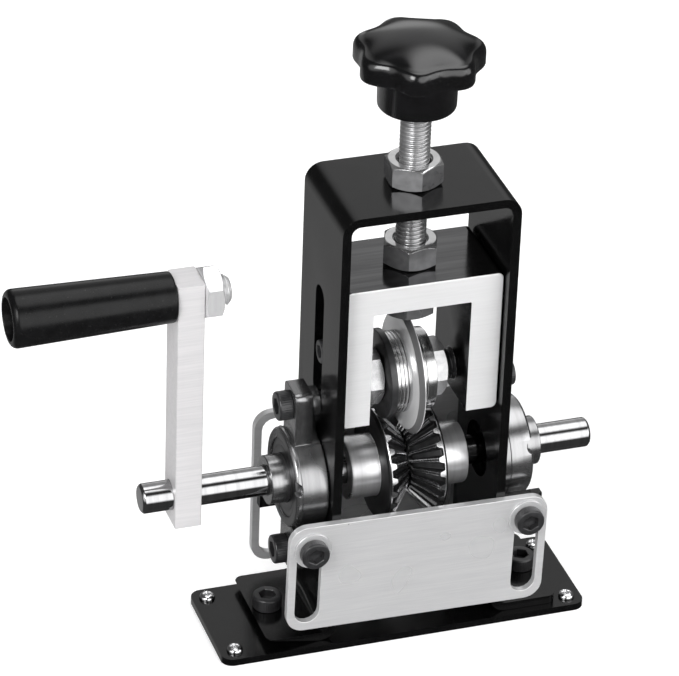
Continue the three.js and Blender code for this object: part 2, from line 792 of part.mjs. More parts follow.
// An upside-down U block: a bar on top and two legs that hold the blade axle.
function bladeCarrier() {
  const side = carrierWidth * half;
  const outline = roundedRectangle(carrierWidth, carrierHeight, carrierCorner, 0, -carrierHeight * half);
  const block = pushed(outline, 'y', -carrierDepth * half, carrierDepth * half);
  const gap = box(
    carrierLeftWall - side, side - carrierRightWall, -carrierDepth, carrierDepth,
    -carrierHeight - overrun, -carrierBar);
  const screwHole = bar('z', m10.radius + runGap, -carrierBar - overrun, overrun);
  const axleHole = bar('x', m10.radius + runGap, -carrierWidth, carrierWidth).translate([0, 0, -axleDrop]);
  const guideHoles = sides.map(([way]) => {
    const deep = way * (side - guideHoleDepth);
    const open = way * (side + overrun);
    const radius = carrierGuide.radius + screwHoleGap;
    const hole = bar('x', radius, Math.min(deep, open), Math.max(deep, open), smallSides);
    return hole.translate([0, 0, -guideHeadDrop]);
  });
  return part('blade_carrier', cutBy(block, gap, screwHole, axleHole, ...guideHoles), finish.whiteAluminium);
}

// Screws whose heads slide in the slots of the legs and keep the carrier upright.
function carrierGuideScrews() {
  return sides.map(([side, word]) => {
    const screw = capScrew('x', carrierGuide, guideShankLength, side < 0);
    const mesh = part(`carrier_guide_screw_${word}`, screw, finish.blackOxide);
    mesh.position.set(side * (carrierWidth * half + seatGap), 0, -guideHeadDrop);
    return mesh;
  });
}

function bladeAxle() {
  const reach = carrierWidth * half - runGap;
  return part('blade_axle', chamferedBar('x', m10.radius, -reach, reach, shaftChamfer), finish.blackOxide);
}

// A ring on the axle between two places along it, its rim chamfered where an edge is given.
function axleRing(name, radius, from, to, material, edge = 0) {
  const body = edge > 0 ? chamferedBar('x', radius, from, to, edge) : bar('x', radius, from, to);
  const ring = body.subtract(bar('x', m10.radius + slipFit, from - overrun, to + overrun));
  return part(name, ring, material);
}

// A disc ground on one side: a wide bevel runs from the small left face to the edge.
function cuttingBlade() {
  const disc = revolved('x', [
    [0, bladeLeft], [bladeFaceRadius, bladeLeft], [bladeEdgeRadius, bladeRight - bladeLand],
    [bladeEdgeRadius, bladeRight], [0, bladeRight],
  ], bladeSides);
  const bore = bar('x', m10.radius + slipFit, bladeLeft - overrun, bladeRight + overrun);
  return part('cutting_blade', disc.subtract(bore), finish.bladeSteel);
}

// The stack on the axle, from the blade outwards to the nuts.
function bladeStack() {
  const meshes = [cuttingBlade()];
  let left = bladeLeft - stackGap;
  for (let index = 1; index <= leftWasherCount; index += 1) {
    const next = left - leftWasherThickness;
    meshes.push(axleRing(
      `spacer_washer_left_${index}`, washerRadius, next, left, finish.brightSteel));
    left = next - stackGap;
  }
  meshes.push(axleRing(
    'spacer_collar', collarRingRadius, left - collarRingThickness, left, finish.blackOxide, collarRingEdge));
  left -= collarRingThickness + stackGap;
  let right = bladeRight + stackGap;
  for (let index = 1; index <= rightWasherCount; index += 1) {
    const next = right + rightWasherThickness;
    meshes.push(axleRing(
      `spacer_washer_right_${index}`, washerRadius, right, next, finish.brightSteel));
    right = next + stackGap;
  }
  const bore = m10.radius + slipFit;
  const leftNut = nut('x', left - leftAxleNut, left, bore, axleNutTurn);
  const rightNut = nut('x', right, right + rightAxleNut, bore, axleNutTurn);
  meshes.push(part('axle_nut_left', leftNut, finish.brightSteel));
  meshes.push(part('axle_nut_right', rightNut, finish.brightSteel));
  return meshes;
}

function pressureScrew() {
  const bottom = carrierTop - screwBelowCarrier;
  const top = knobHubBottom + knobBoreDepth - runGap;
  const body = chamferedBar('z', m10.radius, bottom, top, shaftChamfer);
  return part('pressure_screw', body, finish.brightSteel);
}

function carrierNuts() {
  const bore = m10.radius + slipFit;
  const above = carrierTop + runGap;
  const below = carrierTop - carrierBar - runGap;
  const upper = nut('z', above, above + m10.nutHeight, bore, carrierNutTurn);
  const lower = nut('z', below - m10.nutHeight, below, bore, carrierNutTurn);
  return [
    part('carrier_nut_upper', upper, finish.brightSteel),
    part('carrier_nut_lower', lower, finish.brightSteel),
  ];
}

function lockNut() {
  const seat = archHeight + seatGap;
  const body = nut('z', seat, seat + m10.nutHeight, m10.radius + runGap, lockNutTurn);
  return part('lock_nut', body, finish.brightSteel);
}

// The lobed edge follows a cosine: the radius swells at each lobe and draws in between.
function lobeOutline() {
  const shape = new THREE.Shape();
  const steps = knobLobes * lobeSteps;
  for (let index = 0; index < steps; index += 1) {
    const angle = index / steps * Math.PI * 2;
    const swell = (1 - Math.cos((angle - knobLobeTurn) * knobLobes)) * half;
    const radius = knobRadius - knobLobeDepth * swell;
    const x = Math.cos(angle) * radius;
    const y = Math.sin(angle) * radius;
    if (index === 0) shape.moveTo(x, y);
    else shape.lineTo(x, y);
  }
  return shape;
}

function starKnob() {
  const lobes = pushed(lobeOutline(), 'z', knobRimBottom, knobTop);
  const neck = knobRadius - knobShoulder;
  const dome = revolved('z', [
    [0, knobRimBottom - overrun], [knobRadius - knobEdge, knobRimBottom - overrun],
    [knobRadius - knobEdge, knobRimBottom], [knobRadius, knobRimBottom + knobEdge],
    ...shoulderArc(neck), ...domeArc(neck, knobShoulderTop, knobTop), [0, knobTop],
  ]);
  const foot = knobHubRadius - knobHubTaper;
  const hub = revolved('z', [
    [0, knobHubBottom], [foot - knobEdge * half, knobHubBottom], [foot, knobHubBottom + knobEdge * half],
    [knobHubRadius, knobRimBottom + knobEdge], [0, knobRimBottom + knobEdge],
  ]);
  const bore = bar('z', m10.radius + slipFit, knobHubBottom - overrun, knobHubBottom + knobBoreDepth);
  return part('star_knob', joined(lobes.intersect(dome), hub).subtract(bore), finish.blackPlastic);
}

// Points on a quarter ellipse from the upright wall of the knob in to its shoulder.
function shoulderArc(neck) {
  const points = [];
  for (let index = 0; index <= shoulderSteps; index += 1) {
    const angle = index / shoulderSteps * quarterTurn;
    points.push([neck + Math.cos(angle) * knobShoulder, knobRimTop + Math.sin(angle) * knobShoulderRise]);
  }
  return points;
}

// Points up a shallow dome: height falls off with the square of the distance from the axis.
function domeArc(reach, low, high) {
  const points = [];
  for (let index = 1; index < domeSteps; index += 1) {
    const share = 1 - index / domeSteps;
    points.push([reach * share, high - (high - low) * share * share]);
  }
  return points;
}

function group(meshes, x = 0, y = 0, z = 0) {
  const holder = new THREE.Group();
  holder.position.set(x, y, z);
  holder.add(...meshes);
  return holder;
}

const frontFace = -(archFront + seatGap);
const rearFace = archBack + seatGap;

const frame = group([
  basePlate(), archFrame(), ...footScrews(), ...mountingScrews(), lockNut(),
  ...sides.flatMap(([side, word]) => [
    bearingHousing(side, word), bearingOuterRing(side, word), ballCage(side, word),
    ...housingScrews(side, word),
  ]),
  guidePlate('guide_plate_front', frontGuide, frontFace - guideThickness, frontFace),
  guidePlate('guide_plate_rear', rearGuide, rearFace, rearFace + guideThickness),
  ...guideScrews(-archFront, -1, 'front'), ...guideScrews(archBack, 1, 'rear'),
]);

const drive = group([
  driveShaft(), crankArm(), armGrub(), gripBolt(), gripNut(),
  ...sides.flatMap(([side, word]) => [
    bearingInnerRing(side, word), collarGrub(side, word), vRoller(side, word),
  ]),
  group([handleGrip()], 0, 0, gripOffset),
], 0, 0, shaftHeight);

const carrier = group([bladeCarrier(), ...carrierGuideScrews()], 0, 0, carrierTop);
const blade = group([bladeAxle(), ...bladeStack()], 0, 0, axleHeight);
const screw = group([pressureScrew(), ...carrierNuts(), starKnob()]);

const stripper = new THREE.Group();
stripper.add(frame, drive, carrier, blade, screw);

export default stripper;
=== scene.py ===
"""Hand crank wire stripper, dressed for rendering.

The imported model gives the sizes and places. Each sub-assembly below works out the finer surfaces
of its own pieces with numpy, in millimetres, and gives every piece its finish. A surface is turned
into metres where it becomes a mesh, and the finishes give their bump heights in metres.
"""

import logging
import math
from dataclasses import dataclass
from enum import Enum
from typing import Sequence

import bmesh
import bpy
import numpy as np
from mathutils import Matrix, Vector


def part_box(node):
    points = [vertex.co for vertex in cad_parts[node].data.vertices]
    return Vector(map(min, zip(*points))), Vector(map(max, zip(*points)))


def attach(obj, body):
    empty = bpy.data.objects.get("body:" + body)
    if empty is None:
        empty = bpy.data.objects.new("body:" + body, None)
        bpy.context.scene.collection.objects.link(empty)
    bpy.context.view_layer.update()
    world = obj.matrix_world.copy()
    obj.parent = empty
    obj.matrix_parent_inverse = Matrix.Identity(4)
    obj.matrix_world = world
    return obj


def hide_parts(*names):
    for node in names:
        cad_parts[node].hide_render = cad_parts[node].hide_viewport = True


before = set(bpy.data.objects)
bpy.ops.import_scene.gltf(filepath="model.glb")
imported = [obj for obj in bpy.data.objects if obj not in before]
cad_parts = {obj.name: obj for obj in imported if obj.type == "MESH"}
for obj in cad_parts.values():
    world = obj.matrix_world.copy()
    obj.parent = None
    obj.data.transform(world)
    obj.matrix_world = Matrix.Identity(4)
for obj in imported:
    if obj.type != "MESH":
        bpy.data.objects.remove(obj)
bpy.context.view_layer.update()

log = logging.getLogger("wire_stripper")

MM = 0.001
FULL_TURN = 2 * math.pi
WELD = 1e-7
Color = tuple[float, float, float]
Point = tuple[float, float, float]
Tree = bpy.types.NodeTree
Socket = bpy.types.NodeSocket
Piece = bpy.types.Object


class Axis(Enum):
    """The axis that a turned piece or a brushed grain follows."""

    X = 0
    Y = 1
    Z = 2


class Grain(Enum):
    """How the marks on a surface run."""

    SPECKLED = "speckled"
    BRUSHED = "brushed"
    TURNED = "turned"


# Node groups that several finishes share


def new_group(name: str, inputs: dict[str, float | None], outputs: Sequence[str]) -> tuple:
    """Starts a shader node group with named sockets.

    Args:
        name: The group's name.
        inputs: Socket names with their default values. None makes a vector socket.
        outputs: Names of the float outputs.

    Returns:
        The node tree, its input node and its output node.
    """
    tree = bpy.data.node_groups.new(name, "ShaderNodeTree")
    for label, default in inputs.items():
        kind = "NodeSocketVector" if default is None else "NodeSocketFloat"
        socket = tree.interface.new_socket(label, in_out="INPUT", socket_type=kind)
        if default is not None:
            socket.default_value = default
    for label in outputs:
        tree.interface.new_socket(label, in_out="OUTPUT", socket_type="NodeSocketFloat")
    return tree, tree.nodes.new("NodeGroupInput"), tree.nodes.new("NodeGroupOutput")


def computed(tree: Tree, operation: str, *terms: object) -> Socket:
    """Adds one Math node.

    Args:
        tree: The node tree that gets the node.
        operation: The Math node's operation, such as ADD.
        terms: Sockets to link or plain numbers, in order.

    Returns:
        The node's output socket.
    """
    node = tree.nodes.new("ShaderNodeMath")
    node.operation = operation
    for socket, term in zip(node.inputs, terms):
        if isinstance(term, (int, float)):
            socket.default_value = term
        else:
            tree.links.new(term, socket)
    return node.outputs[0]


def noise(tree: Tree, vector: object, scale: object, detail: float) -> Socket:
    """Adds one noise texture.

    Args:
        tree: The node tree that gets the node.
        vector: The socket with the place on the surface.
        scale: A socket or a number for the noise's frequency.
        detail: How many finer layers lie over the first.

    Returns:
        The noise's value, about 0.5 on average.
    """
    node = tree.nodes.new("ShaderNodeTexNoise")
    node.inputs["Detail"].default_value = detail
    tree.links.new(vector, node.inputs["Vector"])
    if isinstance(scale, (int, float)):
        node.inputs["Scale"].default_value = scale
    else:
        tree.links.new(scale, node.inputs["Scale"])
    return node.outputs["Fac"]


def spread(tree: Tree, value: object, low: float, high: float) -> Socket:
    """Adds a Map Range node that stretches low to high over 0 to 1 and clamps the rest.

    Args:
        tree: The node tree that gets the node.
        value: The socket to stretch.
        low: The value that becomes 0.
        high: The value that becomes 1.

    Returns:
        The node's output socket.
    """
    node = tree.nodes.new("ShaderNodeMapRange")
    node.inputs["From Min"].default_value = low
    node.inputs["From Max"].default_value = high
    tree.links.new(value, node.inputs["Value"])
    return node.outputs["Result"]


@dataclass(frozen=True)
class GrainMix:
    """How a grain is mixed from a fine noise, which is also its height, and a wide one.

    Detail counts the fine noise's layers, and wide_share is the wide noise's frequency over the
    fine one's. Fine_share of the shade is the fine noise, and the rest is the wide one. The shade
    is stretched so that low becomes 0 and high becomes 1.
    """

    name: str
    detail: float
    wide_share: float
    fine_share: float
    low: float
    high: float


WIDE_DETAIL = 2.0
GRAIN_MIXES = {
    Grain.SPECKLED: GrainMix("Speckled grain", 3.0, 0.13, 0.0, 0.35, 0.65),
    Grain.BRUSHED: GrainMix("Brushed grain", 4.0, 0.21, 0.6, 0.38, 0.62),
    Grain.TURNED: GrainMix("Turned rings", 4.0, 0.17, 0.0, 0.36, 0.64),
}


def lathe_place(tree: Tree, place: Socket) -> Socket:
    """Turns a place into the length along X and the distance from X, so that noise makes rings.

    Args:
        tree: The node tree that gets the nodes.
        place: The socket with the place on the surface.

    Returns:
        The socket with the new place.
    """
    split = tree.nodes.new("ShaderNodeSeparateXYZ")
    tree.links.new(place, split.inputs[0])
    squares = [computed(tree, "MULTIPLY", split.outputs[i], split.outputs[i]) for i in (1, 2)]
    radius = computed(tree, "SQRT", computed(tree, "ADD", *squares))
    joined = tree.nodes.new("ShaderNodeCombineXYZ")
    tree.links.new(split.outputs[0], joined.inputs[0])
    tree.links.new(radius, joined.inputs[1])
    return joined.outputs[0]


def grain_group(grain: Grain) -> Tree:
    """Builds the group of one grain. The material draws a brushed grain out before the group.

    Args:
        grain: The grain to build.

    Returns:
        The group's node tree.
    """
    mix = GRAIN_MIXES[grain]
    tree, source, sink = new_group(mix.name, {"Vector": None, "Scale": 1.0}, ("Height", "Shade"))
    place, scale = source.outputs["Vector"], source.outputs["Scale"]
    if grain is Grain.TURNED:
        place = lathe_place(tree, place)
    fine = noise(tree, place, scale, mix.detail)
    shade = noise(tree, place, computed(tree, "MULTIPLY", scale, mix.wide_share), WIDE_DETAIL)
    if mix.fine_share > 0:
        part = computed(tree, "MULTIPLY", fine, mix.fine_share)
        shade = computed(tree, "ADD", part, computed(tree, "MULTIPLY", shade, 1 - mix.fine_share))
    tree.links.new(fine, sink.inputs["Height"])
    tree.links.new(spread(tree, shade, mix.low, mix.high), sink.inputs["Shade"])
    return tree


SMUDGE_SCALE, SMUDGE_RANGE = 45.0, (0.3, 0.75)
DUST_SCALE, DUST_RANGE = 1400.0, (0.66, 0.8)
EDGE_SCALE, EDGE_RANGE = 420.0, (0.34, 0.6)


def handling_group() -> Tree:
    """Builds the marks of use: Smudge is wide soft patches, and Dust a thin scatter of fine dots.

    Returns:
        The group's node tree.
    """
    tree, source, sink = new_group("Handling marks", {"Vector": None}, ("Smudge", "Dust"))
    patches = noise(tree, source.outputs["Vector"], SMUDGE_SCALE, 1.0)
    dots = noise(tree, source.outputs["Vector"], DUST_SCALE, 2.0)
    tree.links.new(spread(tree, patches, *SMUDGE_RANGE), sink.inputs["Smudge"])
    tree.links.new(spread(tree, dots, *DUST_RANGE), sink.inputs["Dust"])
    return tree


def wear_and_highlight_group() -> Tree:
    """Builds the edge mask, for worn edges that also carry a painted highlight: a fine noise that leaves
    most of a bevel bright, and the rest as it was.

    Returns:
        The group's node tree.
    """
    tree, source, sink = new_group("Worn edges", {"Vector": None}, ("Edge",))
    broken = noise(tree, source.outputs["Vector"], EDGE_SCALE, 3.0)
    tree.links.new(spread(tree, broken, *EDGE_RANGE), sink.inputs["Edge"])
    return tree


class Marks:
    """The shared node groups, each built once."""

    def __init__(self) -> None:
        """Builds the five groups."""
        self.grains = {grain: grain_group(grain) for grain in Grain}
        self.handling = handling_group()
        self.edges = wear_and_highlight_group()


marks = Marks()


# Finishes


DUST_COLOR = (0.55, 0.54, 0.52)
# The Mapping rotation that lays each axis along X
GRAIN_TURNS = {
    Axis.X: (0.0, 0.0, 0.0),
    Axis.Y: (0.0, 0.0, -math.pi / 2),
    Axis.Z: (0.0, math.pi / 2, 0.0),
}


@dataclass(frozen=True)
class Finish:
    """One finish: two tones, a range of roughness, the marks that making and use left, and an edge colour
    that is partly wear and partly a painted highlight.
    """

    name: str
    slot: str
    color: Color
    shade: Color
    roughness: tuple[float, float]
    metallic: float = 0.0
    coat: float = 0.0
    coat_roughness: float = 0.05
    specular: float = 0.5
    grain: Grain = Grain.SPECKLED
    grain_scale: float = 900.0
    stretch: float = 0.04
    bump: float = 0.00001
    # Edge colour and its share: worn edges, and a painted highlight along the bevels as well
    edge: Color = (0.5, 0.5, 0.5)
    wear_and_highlight_amount: float = 0.0
    dust: float = 0.0

    def _place(self, tree: Tree, axis: Axis, centre: Point) -> tuple:
        """Reads the place on the piece, plain and turned about the grain's axis.

        Args:
            tree: The material's node tree.
            axis: The axis of the grain.
            centre: A point on that axis.

        Returns:
            The plain object coordinates, and the centred and turned ones.
        """
        plain = tree.nodes.new("ShaderNodeTexCoord").outputs["Object"]
        centred = tree.nodes.new("ShaderNodeMapping")
        centred.inputs["Location"].default_value = tuple(-value for value in centre)
        tree.links.new(plain, centred.inputs["Vector"])
        turned = tree.nodes.new("ShaderNodeMapping")
        turned.inputs["Rotation"].default_value = GRAIN_TURNS[axis]
        if self.grain is Grain.BRUSHED:
            turned.inputs["Scale"].default_value = (self.stretch, 1.0, 1.0)
        tree.links.new(centred.outputs[0], turned.inputs["Vector"])
        return plain, turned.outputs[0]

    def _group(self, tree: Tree, group: Tree, vector: object) -> bpy.types.Node:
        """Adds a shared group to the material and feeds it the place.

        Args:
            tree: The material's node tree.
            group: The shared group.
            vector: The socket with the place on the surface.

        Returns:
            The new group node.
        """
        node = tree.nodes.new("ShaderNodeGroup")
        node.node_tree = group
        tree.links.new(vector, node.inputs["Vector"])
        return node

    def _mixed(self, tree: Tree, factor: object, first: object, second: object) -> object:
        """Adds a colour Mix node between two colours, each a socket or a colour.

        Args:
            tree: The material's node tree.
            factor: The socket that says how much of the second colour shows.
            first: The colour where the factor is 0.
            second: The colour where the factor is 1.

        Returns:
            The mixed colour's socket.
        """
        node = tree.nodes.new("ShaderNodeMix")
        node.data_type = "RGBA"
        tree.links.new(factor, node.inputs["Factor"])
        for label, value in (("A", first), ("B", second)):
            socket = next(s for s in node.inputs if s.name == label and s.type == "RGBA")
            if isinstance(value, tuple):
                socket.default_value = (*value, 1.0)
            else:
                tree.links.new(value, socket)
        return next(s for s in node.outputs if s.type == "RGBA")

    def material(self, axis: Axis = Axis.X, centre: Point = (0.0, 0.0, 0.0),
                 worn: bool = False) -> bpy.types.Material:
        """Builds the material once for each axis and centre, and hands it out again after that.

        Args:
            axis: The axis that the grain follows.
            centre: A point on that axis.
            worn: Whether it is the variant for bevelled edges, whose edge colour is partly wear and partly
                a painted highlight.

        Returns:
            The finished material.
        """
        place = "_".join(f"{value * 1000:.0f}" for value in centre)
        label = f"{self.name}_{axis.name.lower()}_{place}{'_worn' if worn else ''}"
        if label in bpy.data.materials:
            return bpy.data.materials[label]
        made = bpy.data.materials.new(label)
        made.use_nodes = True
        tree = made.node_tree
        shader = tree.nodes["Principled BSDF"]
        plain, turned = self._place(tree, axis, centre)
        grain = self._group(tree, marks.grains[self.grain], turned)
        grain.inputs["Scale"].default_value = self.grain_scale
        handling = self._group(tree, marks.handling, plain)
        color = self._mixed(tree, grain.outputs["Shade"], self.color, self.shade)
        # Bevelled edges turn toward the edge colour under the mask: partly edge wear, partly a painted
        # highlight
        if worn:
            mask = self._group(tree, marks.edges, plain).outputs["Edge"]
            amount = computed(tree, "MULTIPLY", mask, self.wear_and_highlight_amount)
            color = self._mixed(tree, amount, color, self.edge)
        if self.dust > 0:
            amount = computed(tree, "MULTIPLY", handling.outputs["Dust"], self.dust)
            color = self._mixed(tree, amount, color, DUST_COLOR)
        tree.links.new(color, shader.inputs["Base Color"])
        low, high = self.roughness
        rough = computed(tree, "MULTIPLY_ADD", handling.outputs["Smudge"], high - low, low)
        tree.links.new(rough, shader.inputs["Roughness"])
        bump = tree.nodes.new("ShaderNodeBump")
        bump.inputs["Distance"].default_value = self.bump
        tree.links.new(grain.outputs["Height"], bump.inputs["Height"])
        tree.links.new(bump.outputs[0], shader.inputs["Normal"])
        shader.inputs["Metallic"].default_value = self.metallic
        shader.inputs["Coat Weight"].default_value = self.coat
        shader.inputs["Coat Roughness"].default_value = self.coat_roughness
        shader.inputs["Specular IOR Level"].default_value = self.specular
        return made


@dataclass(frozen=True)
class Finishes:
    """Every finish of the wire stripper."""

    black_coat: Finish = Finish(
        "black_powder_coat", "black_coat", (0.001, 0.001, 0.0011), (0.0022, 0.0022, 0.0023), (0.14, 0.24),
        grain_scale=1500.0, bump=0.000012,
        edge=(0.05, 0.05, 0.052), wear_and_highlight_amount=0.3, dust=0.02)
    carrier_alloy: Finish = Finish(
        "milled_light_alloy", "light_aluminium", (0.85, 0.85, 0.855), (0.81, 0.81, 0.815), (0.32, 0.42),
        metallic=0.45, grain=Grain.BRUSHED, grain_scale=1300.0, bump=0.000006,
        edge=(0.93, 0.93, 0.93), wear_and_highlight_amount=0.6)
    # The carrier's top and sides: a polished copy of the light alloy whose dark tone is painted shade,
    # standing in for the dark parts it reflects
    polished_alloy: Finish = Finish(
        "polished_alloy", "light_aluminium", (0.2, 0.2, 0.203), (0.14, 0.14, 0.143), (0.08, 0.16),
        metallic=1.0, grain=Grain.BRUSHED, grain_scale=1300.0, bump=0.000003)
    bright_nickel: Finish = Finish(
        "bright_nickel", "zinc_steel", (0.74, 0.74, 0.745), (0.66, 0.66, 0.67), (0.16, 0.26),
        metallic=0.5, grain=Grain.TURNED, grain_scale=2200.0, bump=0.000004)
    arm_alloy: Finish = Finish(
        "brushed_light_alloy", "light_aluminium", (0.78, 0.765, 0.775), (0.71, 0.70, 0.71), (0.3, 0.42),
        metallic=0.4, grain=Grain.BRUSHED, grain_scale=1700.0, bump=0.000008,
        edge=(0.93, 0.93, 0.93), wear_and_highlight_amount=0.5)
    guide_steel: Finish = Finish(
        "brushed_stainless", "stainless", (0.71, 0.71, 0.715), (0.65, 0.65, 0.66), (0.26, 0.34),
        metallic=0.5, grain=Grain.BRUSHED, grain_scale=1900.0, bump=0.000005,
        edge=(0.95, 0.95, 0.95), wear_and_highlight_amount=0.7)
    ring_steel: Finish = Finish(
        "ground_ring_steel", "stainless", (0.15, 0.15, 0.153), (0.1, 0.1, 0.102), (0.25, 0.4),
        metallic=1.0, grain=Grain.TURNED, grain_scale=2600.0, bump=0.000008)
    bright_zinc: Finish = Finish(
        "bright_zinc", "zinc_steel", (0.83, 0.83, 0.835), (0.7, 0.7, 0.71), (0.1, 0.22),
        metallic=1.0, grain=Grain.TURNED, grain_scale=2200.0, bump=0.000004)
    shaft_chrome: Finish = Finish(
        "ground_shaft", "zinc_steel", (0.44, 0.44, 0.445), (0.36, 0.36, 0.365), (0.05, 0.12),
        metallic=1.0, grain=Grain.TURNED, grain_scale=2600.0, bump=0.000002)
    black_oxide: Finish = Finish(
        "oiled_black_oxide", "black_oxide", (0.022, 0.022, 0.023), (0.034, 0.034, 0.036), (0.24, 0.4),
        metallic=0.25, coat=0.2, coat_roughness=0.2, grain_scale=2600.0, bump=0.000007)
    turned_iron: Finish = Finish(
        "turned_dark_iron", "housing_iron", (0.36, 0.36, 0.364), (0.28, 0.28, 0.284), (0.2, 0.28),
        metallic=0.95, grain=Grain.TURNED, grain_scale=2300.0, bump=0.000007)
    roller_black: Finish = Finish(
        "roller_black", "roller_steel", (0.02, 0.02, 0.021), (0.035, 0.035, 0.036), (0.25, 0.4),
        metallic=0.6, grain=Grain.TURNED, grain_scale=2300.0, bump=0.000007)
    # Bright lines on the roller's tooth crests and round its rim: painted highlights
    roller_painted_highlight: Finish = Finish(
        "roller_ground_teeth", "roller_steel", (0.72, 0.72, 0.73), (0.5, 0.5, 0.51), (0.2, 0.34),
        metallic=1.0, grain_scale=2600.0, bump=0.00001)
    hub_steel: Finish = Finish(
        "turned_hub", "roller_steel", (0.78, 0.78, 0.79), (0.6, 0.6, 0.61), (0.22, 0.36),
        metallic=0.75, grain=Grain.TURNED, grain_scale=2300.0, bump=0.000007)
    # Two copies of one zinc for the nuts: a bright one for the end faces, painted light, and a dark one for
    # the flats, painted shade
    nut_zinc_painted_light: Finish = Finish(
        "zinc_nut", "zinc_steel", (0.92, 0.92, 0.925), (0.84, 0.84, 0.845), (0.1, 0.18),
        metallic=0.9, grain_scale=2600.0, bump=0.000004)
    nut_zinc_painted_shade: Finish = Finish(
        "zinc_nut_flat", "zinc_steel", (0.26, 0.26, 0.265), (0.2, 0.2, 0.205), (0.2, 0.3),
        metallic=0.7, grain_scale=2600.0, bump=0.000004)
    screw_zinc: Finish = Finish(
        "zinc_thread", "zinc_steel", (0.5, 0.5, 0.505), (0.4, 0.4, 0.405), (0.22, 0.32),
        metallic=0.75, grain_scale=2600.0, bump=0.000003)
    washer_steel: Finish = Finish(
        "pressed_washer", "zinc_steel", (0.8, 0.8, 0.805), (0.6, 0.6, 0.605), (0.16, 0.28),
        metallic=1.0, grain=Grain.TURNED, grain_scale=2400.0, bump=0.000005)
    # The carrier's inward faces: a near-black copy of the light alloy, painted shade
    inner_alloy_painted_shade: Finish = Finish(
        "shaded_alloy", "light_aluminium", (0.06, 0.06, 0.061), (0.045, 0.045, 0.046), (0.2, 0.3),
        metallic=1.0, grain=Grain.BRUSHED, grain_scale=1300.0, bump=0.000003)
    knob_plastic: Finish = Finish(
        "moulded_black_plastic", "knob_plastic", (0.003, 0.003, 0.0032), (0.0045, 0.0045, 0.005),
        (0.14, 0.24),
        coat=0.3, coat_roughness=0.1, grain_scale=1300.0, bump=0.000008, dust=0.03)
    grip_rubber: Finish = Finish(
        "black_grip_rubber", "grip_rubber", (0.004, 0.004, 0.0042), (0.006, 0.006, 0.0063), (0.2, 0.3),
        specular=0.18, grain_scale=2400.0, bump=0.00001, dust=0.04)
    # The ground bevel is rougher than the face, and its much darker tone is painted shade
    blade_bevel_painted_shade: Finish = Finish(
        "blade_ground_bevel", "blade_steel", (0.2, 0.2, 0.203), (0.16, 0.16, 0.163), (0.3, 0.42),
        metallic=0.5, grain=Grain.TURNED, grain_scale=3200.0, bump=0.000006)
    blade_bright: Finish = Finish(
        "blade_bright_face", "blade_steel", (0.9, 0.9, 0.905), (0.84, 0.84, 0.85), (0.16, 0.28),
        metallic=0.5, grain=Grain.TURNED, grain_scale=2600.0, bump=0.000003)


finishes = Finishes()


# Surfaces, with sizes in millimetres


def directions(axis: Axis) -> tuple[np.ndarray, np.ndarray, np.ndarray]:
    """Gives an axis and the two directions square to it, in right-handed order."""
    rows = np.eye(3)
    return rows[axis.value], rows[(axis.value + 1) % 3], rows[(axis.value + 2) % 3]


def faces_of(rows: int, columns: int, looped: bool) -> np.ndarray:
    """Numbers the quads of a grid whose columns close on themselves.

    Args:
        rows: How many rows of points there are.
        columns: How many points each row has.
        looped: Whether the last row joins the first.

    Returns:
        One row of four point numbers for each quad, seen anticlockwise from outside.
    """
    count = rows if looped else rows - 1
    row, column = np.meshgrid(np.arange(count), np.arange(columns), indexing="ij")
    above, beside = (row + 1) % rows, (column + 1) % columns
    near, far = row * columns, above * columns
    corners = (near + column, near + beside, far + beside, far + column)
    return np.stack(corners, axis=-1).reshape(-1, 4)


def shell(name: str, points: np.ndarray, faces: np.ndarray, sharp: float = 32.0) -> Piece:
    """Puts a surface into a new object, and welds its seams and poles.

    Args:
        name: The object's name.
        points: Points in millimetres, one row each.
        faces: Point numbers of each quad.
        sharp: Edges that turn by more than this many degrees stay crisp.

    Returns:
        The new object, linked to the scene.
    """
    mesh = bpy.data.meshes.new(name)
    mesh.from_pydata((points * MM).tolist(), [], faces.tolist())
    return finished_mesh(name, mesh, sharp)


def finished_mesh(name: str, mesh: bpy.types.Mesh, sharp: float, flat: float = 0.0) -> Piece:
    """Welds a mesh, joins faces that lie in one plane if asked, smooths it and makes its object.

    Args:
        name: The object's name.
        mesh: The mesh, in metres.
        sharp: Edges that turn by more than this many degrees stay crisp.
        flat: Faces that turn by less than this many degrees are joined, unless it is 0.

    Returns:
        The new object, linked to the scene.
    """
    work = bmesh.new()
    work.from_mesh(mesh)
    bmesh.ops.remove_doubles(work, verts=work.verts, dist=WELD)
    bmesh.ops.dissolve_degenerate(work, dist=WELD, edges=work.edges)
    if flat > 0:
        bmesh.ops.dissolve_limit(
            work, angle_limit=math.radians(flat), verts=work.verts, edges=work.edges)
    work.to_mesh(mesh)
    work.free()
    mesh.polygons.foreach_set("use_smooth", np.ones(len(mesh.polygons), bool))
    mesh.set_sharp_from_angle(angle=math.radians(sharp))
    mesh.update()
    made = bpy.data.objects.new(name, mesh)
    bpy.context.scene.collection.objects.link(made)
    return made


def column_angles(columns: int, start: float = 0.0) -> np.ndarray:
    """Gives the angle of each column."""
    return start + FULL_TURN * np.arange(columns) / columns


